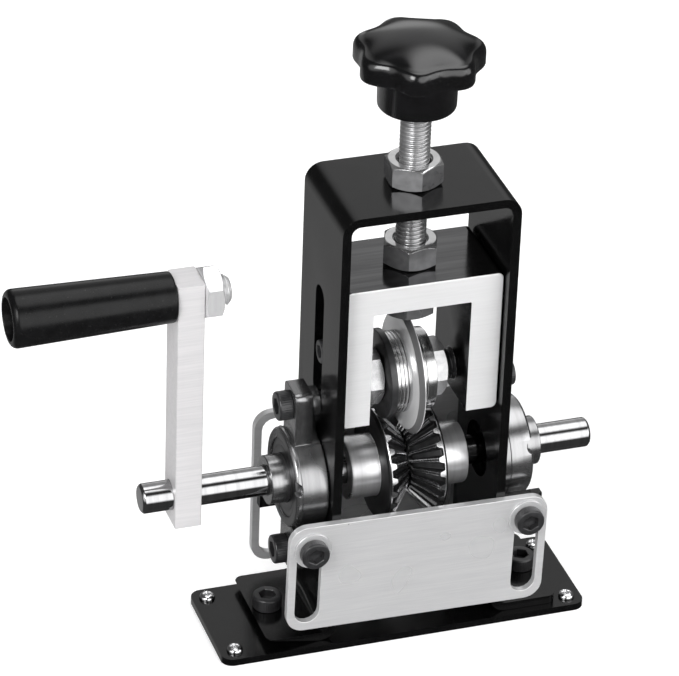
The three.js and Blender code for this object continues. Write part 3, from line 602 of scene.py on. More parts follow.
def turned(name: str, profile: Sequence, axis: Axis, centre: Point = (0.0, 0.0, 0.0),
           columns: int = 96, start: float = 0.0, looped: bool = False) -> Piece:
    """Carries a profile round an axis.

    A point lies at centre + along * axis + radius * (cos(angle) * across + sin(angle) * up).
    Along and radius may each change with the angle, which makes hexagons, lobes and teeth.

    Args:
        name: The piece's name.
        profile: Pairs of (along, radius), each a number or one value for each column.
        axis: The axis to go round.
        centre: A point on the axis.
        columns: How many points go round.
        start: The first column's angle.
        looped: Whether the profile closes on itself, as a ring's does.

    Returns:
        The piece's object.
    """
    along_way, across, up = directions(axis)
    angles = column_angles(columns, start)
    along = np.stack([np.broadcast_to(item[0], columns) for item in profile])[..., None]
    radius = np.stack([np.broadcast_to(item[1], columns) for item in profile])[..., None]
    outward = np.cos(angles)[:, None] * across + np.sin(angles)[:, None] * up
    points = np.asarray(centre) + along * along_way + radius * outward
    return shell(name, points.reshape(-1, 3), faces_of(len(profile), columns, looped))


def softened(corners: Sequence, radius: float, steps: int = 4, looped: bool = False) -> np.ndarray:
    """Rounds the corners of a profile.

    Each corner becomes a quadratic curve between a point before it and a point after it. They
    lie the radius away, or 0.45 of the side where that is less.

    Args:
        corners: Pairs of (along, radius), each a number.
        radius: How far from the corner the curve starts.
        steps: How many points each curve gets.
        looped: Whether the last corner joins the first.

    Returns:
        The rounded profile, one row for each point.
    """
    points = np.asarray(corners, float)
    if looped:
        points = np.concatenate([points[-1:], points, points[:1]])
    middle = points[1:-1]
    back, ahead = points[:-2] - middle, points[2:] - middle
    reach_back = np.linalg.norm(back, axis=1, keepdims=True)
    reach_ahead = np.linalg.norm(ahead, axis=1, keepdims=True)
    first = middle + back / reach_back * np.minimum(radius, 0.45 * reach_back)
    last = middle + ahead / reach_ahead * np.minimum(radius, 0.45 * reach_ahead)
    share = np.linspace(0, 1, steps)[None, :, None]
    curve = (1 - share) ** 2 * first[:, None] + share ** 2 * last[:, None]
    curve = (curve + 2 * share * (1 - share) * middle[:, None]).reshape(-1, 2)
    return curve if looped else np.concatenate([points[:1], curve, points[-1:]])


def hexagon(angles: np.ndarray, across_flats: float, corner: float) -> np.ndarray:
    """Gives a hexagon's radius: half its width across flats over the cosine of the angle to a flat."""
    return across_flats / 2 / np.cos(np.mod(angles - corner, math.pi / 3) - math.pi / 6)


@dataclass(frozen=True)
class Thread:
    """A metric thread: its outer radius, its pitch and how deep its groove shows."""

    radius: float
    pitch: float
    depth: float
    crest_share: float = 0.22
    root_power: float = 1.4
    steps: int = 8

    def height(self, phase: np.ndarray) -> np.ndarray:
        """Gives the radius over one pitch.

        Beyond the flat crest, the radius falls by the depth times sin(90 degrees * fall) to the
        root power, where fall grows from 0 beside the crest to 1 in the middle of the root.

        Args:
            phase: The place along the thread in pitches.

        Returns:
            One radius for each place.
        """
        from_crest = np.abs(np.mod(phase, 1.0) - 0.5) * 2
        fall = np.clip((1 - from_crest - self.crest_share) / (1 - self.crest_share), 0, 1)
        return self.radius - self.depth * np.sin(fall * math.pi / 2) ** self.root_power

    def rod(self, name: str, axis: Axis, centre: Point, begin: float, end: float,
            plain: float | None = None, chamfer: float = 0.8, columns: int = 48) -> Piece:
        """Builds a threaded rod whose rows of points follow the helix.

        Row r at angle a lies (r / steps + a / full turn) pitches along the axis, held between
        the two ends. The radius is the thread's height at that row, less a cone at each end.

        Args:
            name: The piece's name.
            axis: The rod's axis.
            centre: A point on that axis.
            begin: Where the rod starts.
            end: Where it stops.
            plain: Where the thread starts, if a plain shank comes first.
            chamfer: The cone's height at each end.
            columns: How many points go round.

        Returns:
            The rod's object.
        """
        rows = int((end - begin) / self.pitch + 2) * self.steps
        row, column = np.meshgrid(np.arange(rows + 1), np.arange(columns + 1), indexing="ij")
        turn = column / columns
        place = begin + self.pitch * (row / self.steps + turn - 1)
        along = np.clip(place, begin, end)
        radius = self.height(row / self.steps)
        if plain is not None:
            radius = np.where(along < plain, self.radius, radius)
        cone = np.minimum(along - begin, end - along) + self.radius - chamfer
        radius = np.minimum(radius, cone)
        along = np.concatenate([np.full((1, columns + 1), begin), along, np.full((1, columns + 1), end)])
        radius = np.pad(radius, ((1, 1), (0, 0)))
        along_way, across, up = directions(axis)
        angle = (np.arange(columns + 1) / columns * FULL_TURN)[:, None]
        outward = np.cos(angle) * across + np.sin(angle) * up
        points = np.asarray(centre) + along[..., None] * along_way + radius[..., None] * outward
        count = columns + 1
        faces = faces_of(len(points), count, False).reshape(-1, count, 4)[:, :-1].reshape(-1, 4)
        return shell(name, points.reshape(-1, 3), faces, 60.0)


M10_THREAD = Thread(radius=5.0, pitch=1.5, depth=0.75)
NUT_BORE = 5.1
NUT_FACE_SHARE = 0.97
NUT_COUNTERSINK = 0.8


def hex_nut(name: str, axis: Axis, centre: Point, begin: float, end: float, bore: float,
            across_flats: float, turn: float = 0.0) -> Piece:
    """Builds a hexagon nut with chamfered faces and a plain, countersunk bore.

    The outer radius is the hexagon's, and each face falls by tan(30 degrees) beyond the
    chamfer's circle, so that the corners show the round arcs of a real nut.

    Args:
        name: The piece's name.
        axis: The nut's axis.
        centre: A point on the axis.
        begin: Where the nut starts along it.
        end: Where it stops.
        bore: The bore's radius.
        across_flats: The width across flats.
        turn: How far the hexagon is turned.

    Returns:
        The nut's object.
    """
    start = turn + math.pi / 6
    angles = column_angles(96, start)
    outer = hexagon(angles, across_flats, start)
    face = across_flats / 2 * NUT_FACE_SHARE
    fall = (outer - face) * math.tan(math.pi / 6)
    sink = min(NUT_COUNTERSINK, (end - begin) * 0.2)
    profile = [
        (begin + sink, bore), (begin, bore + sink), (begin, face - 0.15), (begin + 0.03, face),
        (begin + fall, outer - 0.06), (begin + fall + 0.08, outer), (end - fall - 0.08, outer),
        (end - fall, outer - 0.06), (end - 0.03, face), (end, face - 0.15),
        (end, bore + sink), (end - sink, bore)]
    return turned(name, profile, axis, centre, 96, start, True)


@dataclass(frozen=True)
class CapScrew:
    """A socket head cap screw: head, knurled wall, hexagon recess and shank.

    The socket is the recess's width across flats, and the knurl is how many ridges go round.
    """

    radius: float
    head_radius: float
    head_height: float
    socket: float
    socket_depth: float
    knurl: int = 40
    knurl_depth: float = 0.09

    def build(self, name: str, axis: Axis, seat: Point, outwards: int, shank: float,
              corner: float) -> Piece:
        """Builds the screw with its seat at a point.

        The wall's radius is the head's, less the knurl's depth between its ridges. The recess has
        the hexagon's radius, a small chamfer at its mouth and a cone at its floor.

        Args:
            name: The piece's name.
            axis: The screw's axis.
            seat: The middle of the face that the head rests on.
            outwards: 1 where the head points along the axis, and -1 where it points back.
            shank: The shank's length.
            corner: The angle of one corner of the recess.

        Returns:
            The screw's object.
        """
        columns = self.knurl * 6
        angles = column_angles(columns, corner)
        wall = self.head_radius - self.knurl_depth * (0.5 + 0.5 * np.cos(angles * self.knurl))
        key = hexagon(angles, self.socket, corner)
        top, rim = self.head_height, self.head_radius
        floor = top - self.socket_depth
        profile = [
            (-shank, 0.0), (-shank, self.radius - 0.5), (-shank + 0.5, self.radius), (0.0, self.radius),
            (0.0, rim - 0.3), (0.12, rim - 0.1), (0.35, wall), (top - 0.85, wall), (top - 0.55, rim - 0.04),
            (top - 0.25, rim - 0.12), (top - 0.07, rim - 0.3), (top, rim - 0.55),
            (top, key + 0.22), (top - 0.2, key), (floor, key), (floor - 0.1, key * 0.6), (floor - 0.6, 0.0)]
        made = [(outwards * along, radius) for along, radius in profile]
        made = made if outwards > 0 else made[::-1]
        return turned(name, made, axis, seat, columns, corner)


@dataclass(frozen=True)
class Grub:
    """A headless socket screw."""

    radius: float = 2.0
    socket: float = 2.0
    socket_depth: float = 1.2

    def build(self, name: str, base: Point, direction: Point, begin: float, end: float) -> Piece:
        """Builds the screw along any direction, by turning a screw drawn along Z.

        Args:
            name: The piece's name.
            base: The point that distances are measured from.
            direction: The unit direction that the socket faces.
            begin: Where the screw starts along it.
            end: Where it stops.

        Returns:
            The screw's object.
        """
        columns = 48
        angles = column_angles(columns)
        key = hexagon(angles, self.socket, 0.0)
        wall = self.radius
        floor = end - self.socket_depth
        profile = [
            (begin, 0.0), (begin, wall - 0.35), (begin + 0.3, wall), (end - 0.3, wall),
            (end - 0.08, wall - 0.12), (end, wall - 0.35), (end, key + 0.12), (end - 0.12, key),
            (floor, key), (floor - 0.3, 0.0)]
        made = turned(name, profile, Axis.Z, (0, 0, 0), columns)
        lean = Vector((0, 0, 1)).rotation_difference(Vector(direction)).to_matrix().to_4x4()
        made.data.transform(Matrix.Translation(np.asarray(base) * MM) @ lean)
        return made


def plain_ring(name: str, axis: Axis, centre: Point, begin: float, end: float, inner: float,
               outer: float, edge: float = 0.2, columns: int = 96) -> Piece:
    """Builds a ring with softened edges between two places on its axis.

    Args:
        name: The piece's name.
        axis: The ring's axis.
        centre: A point on the axis.
        begin: Where the ring starts along it.
        end: Where it stops.
        inner: The hole's radius.
        outer: The ring's radius.
        edge: How far from a corner its rounding starts.
        columns: How many points go round.

    Returns:
        The ring's object.
    """
    corners = [(begin, inner), (begin, outer), (end, outer), (end, inner)]
    return turned(name, softened(corners, edge, 4, True), axis, centre, columns, 0.0, True)


def packed_copy(node: str, edge: float, segments: int = 3, sharp: float = 32.0) -> Piece:
    """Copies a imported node, welds it, joins its flat faces and bevels its edges.

    Args:
        node: The node's name in model.glb.
        edge: The bevel's width in millimetres, or 0 for none.
        segments: How many faces the bevel has.
        sharp: Edges that turn by more than this many degrees are bevelled.

    Returns:
        The copy, which is not yet riding on anything.
    """
    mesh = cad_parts[node].data.copy()
    mesh.materials.clear()
    made = finished_mesh(f"{node}_dressed", mesh, sharp, 0.4)
    if edge > 0:
        bevel = made.modifiers.new("soft_edges", "BEVEL")
        bevel.width = edge * MM
        bevel.segments = segments
        bevel.limit_method = "ANGLE"
        bevel.angle_limit = math.radians(sharp)
        bevel.harden_normals = True
        bevel.miter_outer = "MITER_ARC"
        # Bevel faces take the second slot, the edge variant: worn edges and a painted highlight
        bevel.material = 1
    return made


def node_box(node: str) -> tuple[np.ndarray, np.ndarray]:
    """Gives a node's lowest and highest corners in millimetres."""
    low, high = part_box(node)
    return np.asarray(low) / MM, np.asarray(high) / MM


def in_metres(point: Point) -> Point:
    """Turns a point in millimetres into metres."""
    return tuple(float(value) * MM for value in point)


def placed(piece: Piece, finish: Finish, body: str, nodes: Sequence[str] = (),
           axis: Axis = Axis.X, centre: Point = (0.0, 0.0, 0.0)) -> Piece:
    """Gives a piece its finish, its body and the nodes it stands for.

    Args:
        piece: The piece's object.
        finish: Its finish.
        body: The body it rides on.
        nodes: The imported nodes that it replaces.
        axis: The axis of its grain.
        centre: A point on that axis, in millimetres.

    Returns:
        The same object.
    """
    middle = in_metres(centre)
    piece.data.materials.append(finish.material(axis, middle))
    # Bevelled pieces get the edge variant too: worn edges and a painted highlight
    if "soft_edges" in piece.modifiers:
        piece.data.materials.append(finish.material(axis, middle, True))
    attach(piece, body)
    if nodes:
        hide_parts(*nodes)
    log.info("%s: %d faces, on %s", piece.name, len(piece.data.polygons), body)
    return piece


def refinished(piece: Piece, finish: Finish, chosen: np.ndarray,
               axis: Axis = Axis.X, centre: Point = (0.0, 0.0, 0.0)) -> None:
    """Gives the chosen faces of a piece another finish.

    Args:
        piece: The piece's object.
        finish: The other finish.
        chosen: One value for each face, true where it changes.
        axis: The axis of its grain.
        centre: A point on that axis, in millimetres.
    """
    piece.data.materials.append(finish.material(axis, in_metres(centre)))
    slots = np.empty(len(piece.data.polygons), np.int32)
    piece.data.polygons.foreach_get("material_index", slots)
    slots[chosen] = len(piece.data.materials) - 1
    piece.data.polygons.foreach_set("material_index", slots)
    piece.data.update()


def face_values(piece: Piece, label: str) -> np.ndarray:
    """Reads a vector of each face.

    Args:
        piece: The piece's object.
        label: The vector's name, such as normal.

    Returns:
        One row of three numbers for each face.
    """
    flat = np.empty(len(piece.data.polygons) * 3)
    piece.data.polygons.foreach_get(label, flat)
    return flat.reshape(-1, 3)


def face_normals(piece: Piece) -> np.ndarray:
    """Gives the outward direction of each face, one row each."""
    return face_values(piece, "normal")


def face_middles(piece: Piece) -> np.ndarray:
    """Gives the middle of each face in millimetres, one row each."""
    return face_values(piece, "center") / MM


def node_ring(node: str, axis: Axis, centre: Point, inner: float, outer: float, edge: float,
              finish: Finish, body: str, columns: int = 96) -> None:
    """Builds a ring as long as its node, and gives it its finish.

    Args:
        node: The node that the ring replaces.
        axis: The ring's axis.
        centre: A point on the axis.
        inner: The hole's radius.
        outer: The ring's radius.
        edge: How far from a corner its rounding starts.
        finish: The ring's finish.
        body: The body it rides on.
        columns: How many points go round.
    """
    low, high = node_box(node)
    begin, end = low[axis.value], high[axis.value]
    ring = plain_ring(f"{node}_dressed", axis, centre, begin, end, inner, outer, edge, columns)
    placed(ring, finish, body, [node], axis, centre)


def node_nut(node: str, axis: Axis, centre: Point, across_flats: float, turn: float,
             finish: Finish, body: str) -> Piece:
    """Builds a nut as tall as its node, and gives it its finish.

    Args:
        node: The node that the nut replaces.
        axis: The nut's axis.
        centre: A point on the axis.
        across_flats: The width across flats.
        turn: How far the hexagon is turned.
        finish: The nut's finish.
        body: The body it rides on.

    Returns:
        The nut's object.
    """
    low, high = node_box(node)
    begin, end = low[axis.value], high[axis.value]
    nut = hex_nut(f"{node}_dressed", axis, centre, begin, end, NUT_BORE, across_flats, turn)
    return placed(nut, finish, body, [node], axis, centre)


def node_screw(node: str, cap: CapScrew, axis: Axis, outwards: int, line: Point, shank: float,
               corner: float, body: str) -> None:
    """Builds a socket screw whose head ends where its node does.

    Args:
        node: The node that the screw replaces.
        cap: The screw's sizes.
        axis: The screw's axis.
        outwards: 1 where the head points along the axis, and -1 where it points back.
        line: A point on the axis.
        shank: The shank's length.
        corner: The angle of one corner of the recess.
        body: The body it rides on.
    """
    low, high = node_box(node)
    seat, way = list(line), axis.value
    seat[way] = low[way] + cap.head_height if outwards < 0 else high[way] - cap.head_height
    screw = cap.build(f"{node}_dressed", axis, tuple(seat), outwards, shank, corner)
    placed(screw, finishes.black_oxide, body, [node], axis, tuple(seat))


# Sub-assemblies, with sizes in millimetres


SHAFT_Z = 56.0
SHAFT = (0.0, 0.0, SHAFT_Z)
AXLE = (0.0, 0.0, 91.0)
GRIP = (0.0, 0.0, 131.0)
SIDES = ((-1, "left"), (1, "right"))
UP_AND_DOWN = ((1, "upper"), (-1, "lower"))
M6_CAP = CapScrew(3.0, 4.9, 4.6, 5.0, 2.6)
M5_CAP = CapScrew(2.5, 4.25, 4.7, 4.0, 2.5)
GUIDE_CAP = CapScrew(3.0, 4.8, 3.4, 5.0, 2.2)
CARRIER_CAP = CapScrew(2.5, 4.0, 3.0, 4.0, 1.5)
BOLT_CAP = CapScrew(4.8, 6.4, 6.0, 5.0, 2.6, 44)


@dataclass
class BasePlate:
    """The flat plate and its four mounting screws."""

    edge: float = 0.35
    head_radius: float = 2.7
    head_height: float = 1.8
    head_side: float = 0.25
    shank_radius: float = 1.5
    slot_width: float = 0.55
    slot_reach: float = 1.5
    slot_depth: float = 0.9

    def plate(self) -> None:
        """Dresses the plate."""
        piece = packed_copy("base_plate", self.edge)
        placed(piece, finishes.black_coat, "base", ["base_plate"], Axis.Z)

    def mounting_screw(self, number: int) -> None:
        """Builds one pan head with a cross recess.

        The head's height falls off as a quarter ellipse. The recess lowers it where either
        distance from the cross's two lines is less than half the slot's width, within its reach.

        Args:
            number: The screw's number, from 1.
        """
        node = f"mounting_screw_{number}"
        low, high = node_box(node)
        middle = (low + high) / 2
        seat = high[2] - self.head_height
        columns = 96
        angles = column_angles(columns, math.pi / 4)
        share = np.linspace(0, 1, 22)[1:][::-1]
        radii = self.head_radius * np.sin(share * math.pi / 2)
        crown = self.head_height - self.head_side
        rise = seat + self.head_side + crown * np.cos(share * math.pi / 2) ** 0.8
        across = np.minimum(np.abs(np.sin(angles)), np.abs(np.cos(angles)))
        off_line = radii[:, None] * across[None, :]
        depth = self.slot_depth * np.clip((self.slot_width - off_line) / 0.16, 0, 1)
        depth = depth * np.clip((self.slot_reach - radii[:, None]) / 0.25, 0, 1)
        profile = [
            (low[2], 0.0), (low[2], self.shank_radius), (seat, self.shank_radius),
            (seat, self.head_radius - 0.1), (seat + 0.1, self.head_radius)]
        profile += [(top - sunk, radius) for top, sunk, radius in zip(rise, depth, radii)]
        profile.append((high[2] - self.slot_depth - 0.05, 0.0))
        centre = (middle[0], middle[1], 0.0)
        piece = turned(f"{node}_dressed", profile, Axis.Z, centre, columns, math.pi / 4)
        placed(piece, finishes.bright_zinc, "base", [node], Axis.Z, centre)

    def build(self) -> None:
        """Builds the plate and its screws."""
        self.plate()
        for number in range(1, 5):
            self.mounting_screw(number)


@dataclass
class Arch:
    """The bent strip, its foot screws and the lock nut on top."""

    edge: float = 0.4
    foot_x: float = 45.0
    foot_seat: float = 5.7
    foot_shank: float = 5.4
    nut_seat: float = 162.1
    nut_height: float = 8.0
    nut_bore: float = 5.3
    nut_size: float = 17.0
    nut_turn: float = -0.05

    def build(self) -> None:
        """Builds the strip, both foot screws and the lock nut."""
        strip = packed_copy("arch_frame", self.edge)
        placed(strip, finishes.black_coat, "base", ["arch_frame"], Axis.Y)
        for side, word in SIDES:
            node = f"foot_screw_{word}"
            seat = (side * self.foot_x, 0.0, self.foot_seat)
            screw = M6_CAP.build(f"{node}_dressed", Axis.Z, seat, 1, self.foot_shank, math.pi / 6)
            placed(screw, finishes.black_oxide, "base", [node], Axis.Z, seat)
        nut = hex_nut(
            "lock_nut_dressed", Axis.Z, (0, 0, 0), self.nut_seat, self.nut_seat + self.nut_height,
            self.nut_bore, self.nut_size, self.nut_turn)
        placed(nut, finishes.nut_zinc_painted_light, "lock_nut", ["lock_nut"], Axis.Z)
        # The flats get the dark copy of the zinc, painted shade, and the end faces the bright one, painted
        # light
        refinished(nut, finishes.nut_zinc_painted_shade, np.abs(face_normals(nut)[:, 2]) < 0.2, Axis.Z)


@dataclass
class Bearing:
    """One two-bolt housing with its bearing, collar and screws."""

    side: int
    word: str
    edge: float = 0.35
    seat: float = 30.1
    boss_radius: float = 16.8
    boss_length: float = 11.0
    boss_chamfer: float = 0.8
    bore: float = 13.25
    rim_steps: tuple[float, float] = (15.2, 14.5)
    ear_width: float = 6.2
    ear_height: float = 34.3
    ear_corner: float = 2.2
    foot_bore: float = 3.2
    foot_radius: float = 5.2
    notch_radius: float = 2.3
    notch_rise_left: float = 4.7
    notch_rise_right: float = 7.3
    bolt_offset: float = 28.0
    grub_turn: float = math.radians(-28.0)
    grub_top: float = 8.15
    grub_begin: float = 5.2
    collar_bore: float = 5.15
    collar_radius: float = 8.2
    collar_edge: float = 0.45
    ring_bore: float = 10.8
    ring_radius: float = 13.2
    shield_bore: float = 8.35
    shield_radius: float = 10.95
    shield_thickness: float = 0.8

    def flange(self) -> tuple[float, float]:
        """Gives how far the flange's two faces stand off the leg: the left one is on feet."""
        return (3.0, 9.0) if self.side < 0 else (0.0, 3.0)

    def bolt_line(self, way: int) -> Point:
        """Gives the middle of a bolt, above the shaft for 1 and below it for -1."""
        return (0.0, 0.0, SHAFT_Z + way * self.bolt_offset)

    def outline(self, angles: np.ndarray, inset: float) -> np.ndarray:
        """Gives the flange's radius at each angle: two upright ears on the round boss.

        An ear is a rectangle with round corners. A ray meets its side at width / |cos|, its top
        at height / |sin|, and a corner's circle where the distance from the circle's middle is
        the corner's radius. The boss's radius counts where it is the larger one.

        Args:
            angles: The angle of each column.
            inset: How far the outline is drawn in from the ear's sides.

        Returns:
            One radius for each angle.
        """
        width, height, corner = self.ear_width - inset, self.ear_height - inset, self.ear_corner - inset
        across, up = np.abs(np.cos(angles)) + 1e-9, np.abs(np.sin(angles)) + 1e-9
        straight = np.minimum(width / across, height / up)
        towards = across * (width - corner) + up * (height - corner)
        under = towards ** 2 - (width - corner) ** 2 - (height - corner) ** 2 + corner ** 2
        rounded = towards + np.sqrt(np.maximum(under, 0.0))
        at_corner = (straight * across > width - corner) & (straight * up > height - corner)
        return np.maximum(np.where(at_corner, rounded, straight), self.boss_radius)

    def rim(self, angles: np.ndarray, radius: float, drop: float) -> np.ndarray:
        """Gives how far the rim stands out at each angle, with the half-round notch at its front.

        Args:
            angles: The angle of each column.
            radius: The distance from the shaft's axis.
            drop: How much lower the rim is there, for its chamfers.

        Returns:
            One length for each angle.
        """
        rise = self.notch_rise_left if self.side < 0 else self.notch_rise_right
        off = radius * np.sin(angles) - rise
        notch = np.sqrt(np.maximum(self.notch_radius ** 2 - off ** 2, 0.0)) * (np.cos(angles) < 0)
        return np.minimum(self.boss_length - drop, self.boss_length - notch)

    def housing(self) -> None:
        """Builds the housing: bore, flange with its ears, round boss and notched rim.

        It is one profile carried round the shaft. The outline gives the radius of its flange at
        each angle, and the rim gives how far the boss reaches along the shaft there.
        """
        node = f"bearing_housing_{self.word}"
        columns = 720
        angles = column_angles(columns)
        inner, outer = self.flange()
        boss, cut, bore = self.boss_radius, self.boss_chamfer, self.bore
        # How far a softened edge is drawn down and in, as shares of its size
        steps = ((0.0, 1.0), (0.1, 0.45), (0.3, 0.12), (0.55, 0.0))
        drawn = [(self.edge * down, self.outline(angles, self.edge * draw)) for down, draw in steps]
        rows = [(0.0, bore), (0.0, boss - 0.4), (0.0 if inner == 0 else 0.4, boss)]
        rows += [(inner + down, reach) for down, reach in drawn]
        rows += [(outer - down, reach) for down, reach in drawn[::-1]]
        rows += [
            (outer, boss + 0.25), (outer + 0.25, boss), (self.rim(angles, boss, cut + 0.15), boss),
            (self.rim(angles, boss, cut - 0.1), boss - 0.08),
            (self.rim(angles, boss - cut, 0.1), boss - cut + 0.1),
            (self.rim(angles, boss - cut, 0.0), boss - cut - 0.12)]
        rows += [(self.rim(angles, reach, 0.0), reach) for reach in (*self.rim_steps, bore + 0.4)]
        rows += [(self.rim(angles, bore, 0.12), bore + 0.1), (self.rim(angles, bore, 0.3), bore)]
        profile = [(self.side * (self.seat + along), radius) for along, radius in rows]
        profile = profile[::-1] if self.side < 0 else profile
        piece = turned(f"{node}_dressed", profile, Axis.X, SHAFT, columns, 0.0, True)
        placed(piece, finishes.turned_iron, "base", [node], Axis.X, SHAFT)
        # The flat end faces beyond the flange get the darker ring steel: painted shade on the housing's
        # turned iron
        normals, middles = face_normals(piece), face_middles(piece)
        beyond = self.side * middles[:, 0] > self.seat + outer + 0.5
        flat = np.abs(normals[:, 0]) > 0.9
        refinished(piece, finishes.ring_steel, beyond & flat, Axis.X, SHAFT)

    def feet(self) -> None:
        """Builds the round feet that hold the left housing's flange off the leg."""
        inner, _ = self.flange()
        for way, place in UP_AND_DOWN:
            middle = self.bolt_line(way)
            foot = plain_ring(
                f"housing_foot_{self.word}_{place}", Axis.X, middle, -self.seat - inner - 0.2,
                -self.seat, self.foot_bore, self.foot_radius, 0.2, 64)
            placed(foot, finishes.turned_iron, "base", (), Axis.X, middle)

    def screws(self) -> None:
        """Builds the two screws that hold the housing to the leg."""
        cap, stack = (M6_CAP, 12.0) if self.side < 0 else (M5_CAP, 6.0)
        for way, place in UP_AND_DOWN:
            node = f"housing_screw_{self.word}_{place}"
            node_screw(node, cap, Axis.X, self.side, self.bolt_line(way), stack, math.pi / 6, "base")

    def rings(self) -> None:
        """Builds the outer ring, its shield, and the inner ring that runs out as the collar."""
        node = f"bearing_outer_ring_{self.word}"
        node_ring(node, Axis.X, SHAFT, self.ring_bore, self.ring_radius, 0.4, finishes.ring_steel, "base")
        low, high = node_box(node)
        thickness = self.shield_thickness
        face = low[0] if self.side < 0 else high[0] - thickness
        shield = plain_ring(
            f"bearing_shield_{self.word}", Axis.X, SHAFT, face, face + thickness,
            self.shield_bore, self.shield_radius, 0.15)
        placed(shield, finishes.ring_steel, "base", (), Axis.X, SHAFT)
        node = f"bearing_inner_ring_{self.word}"
        low, high = node_box(node)
        bore, radius = self.collar_bore, self.collar_radius
        corners = [(low[0], bore), (low[0], radius), (high[0], radius), (high[0], bore)]
        profile = softened(corners, self.collar_edge, 5, True)
        inner = turned(f"{node}_dressed", profile, Axis.X, SHAFT, 96, 0.0, True)
        placed(inner, finishes.turned_iron, "drive", [node], Axis.X, SHAFT)

    def cage(self) -> None:
        """Gives the ball cage its finish."""
        node = f"ball_cage_{self.word}"
        made = packed_copy(node, 0.0, sharp=50.0)
        placed(made, finishes.bright_zinc, f"cage_{self.word}", [node], Axis.X, SHAFT)

    def grub(self) -> None:
        """Builds the collar's locking screw, its end flush with the collar."""
        node = f"collar_grub_{self.word}"
        low, high = node_box(node)
        base = ((low[0] + high[0]) / 2, 0.0, SHAFT_Z)
        lean = (0.0, -math.sin(self.grub_turn), math.cos(self.grub_turn))
        screw = Grub().build(f"{node}_dressed", base, lean, self.grub_begin, self.grub_top)
        placed(screw, finishes.black_oxide, "drive", [node], Axis.X, base)

    def build(self) -> None:
        """Builds the housing, its feet and screws, the rings, the cage and the grub screw."""
        self.housing()
        if self.side < 0:
            self.feet()
        self.screws()
        self.rings()
        self.cage()
        self.grub()


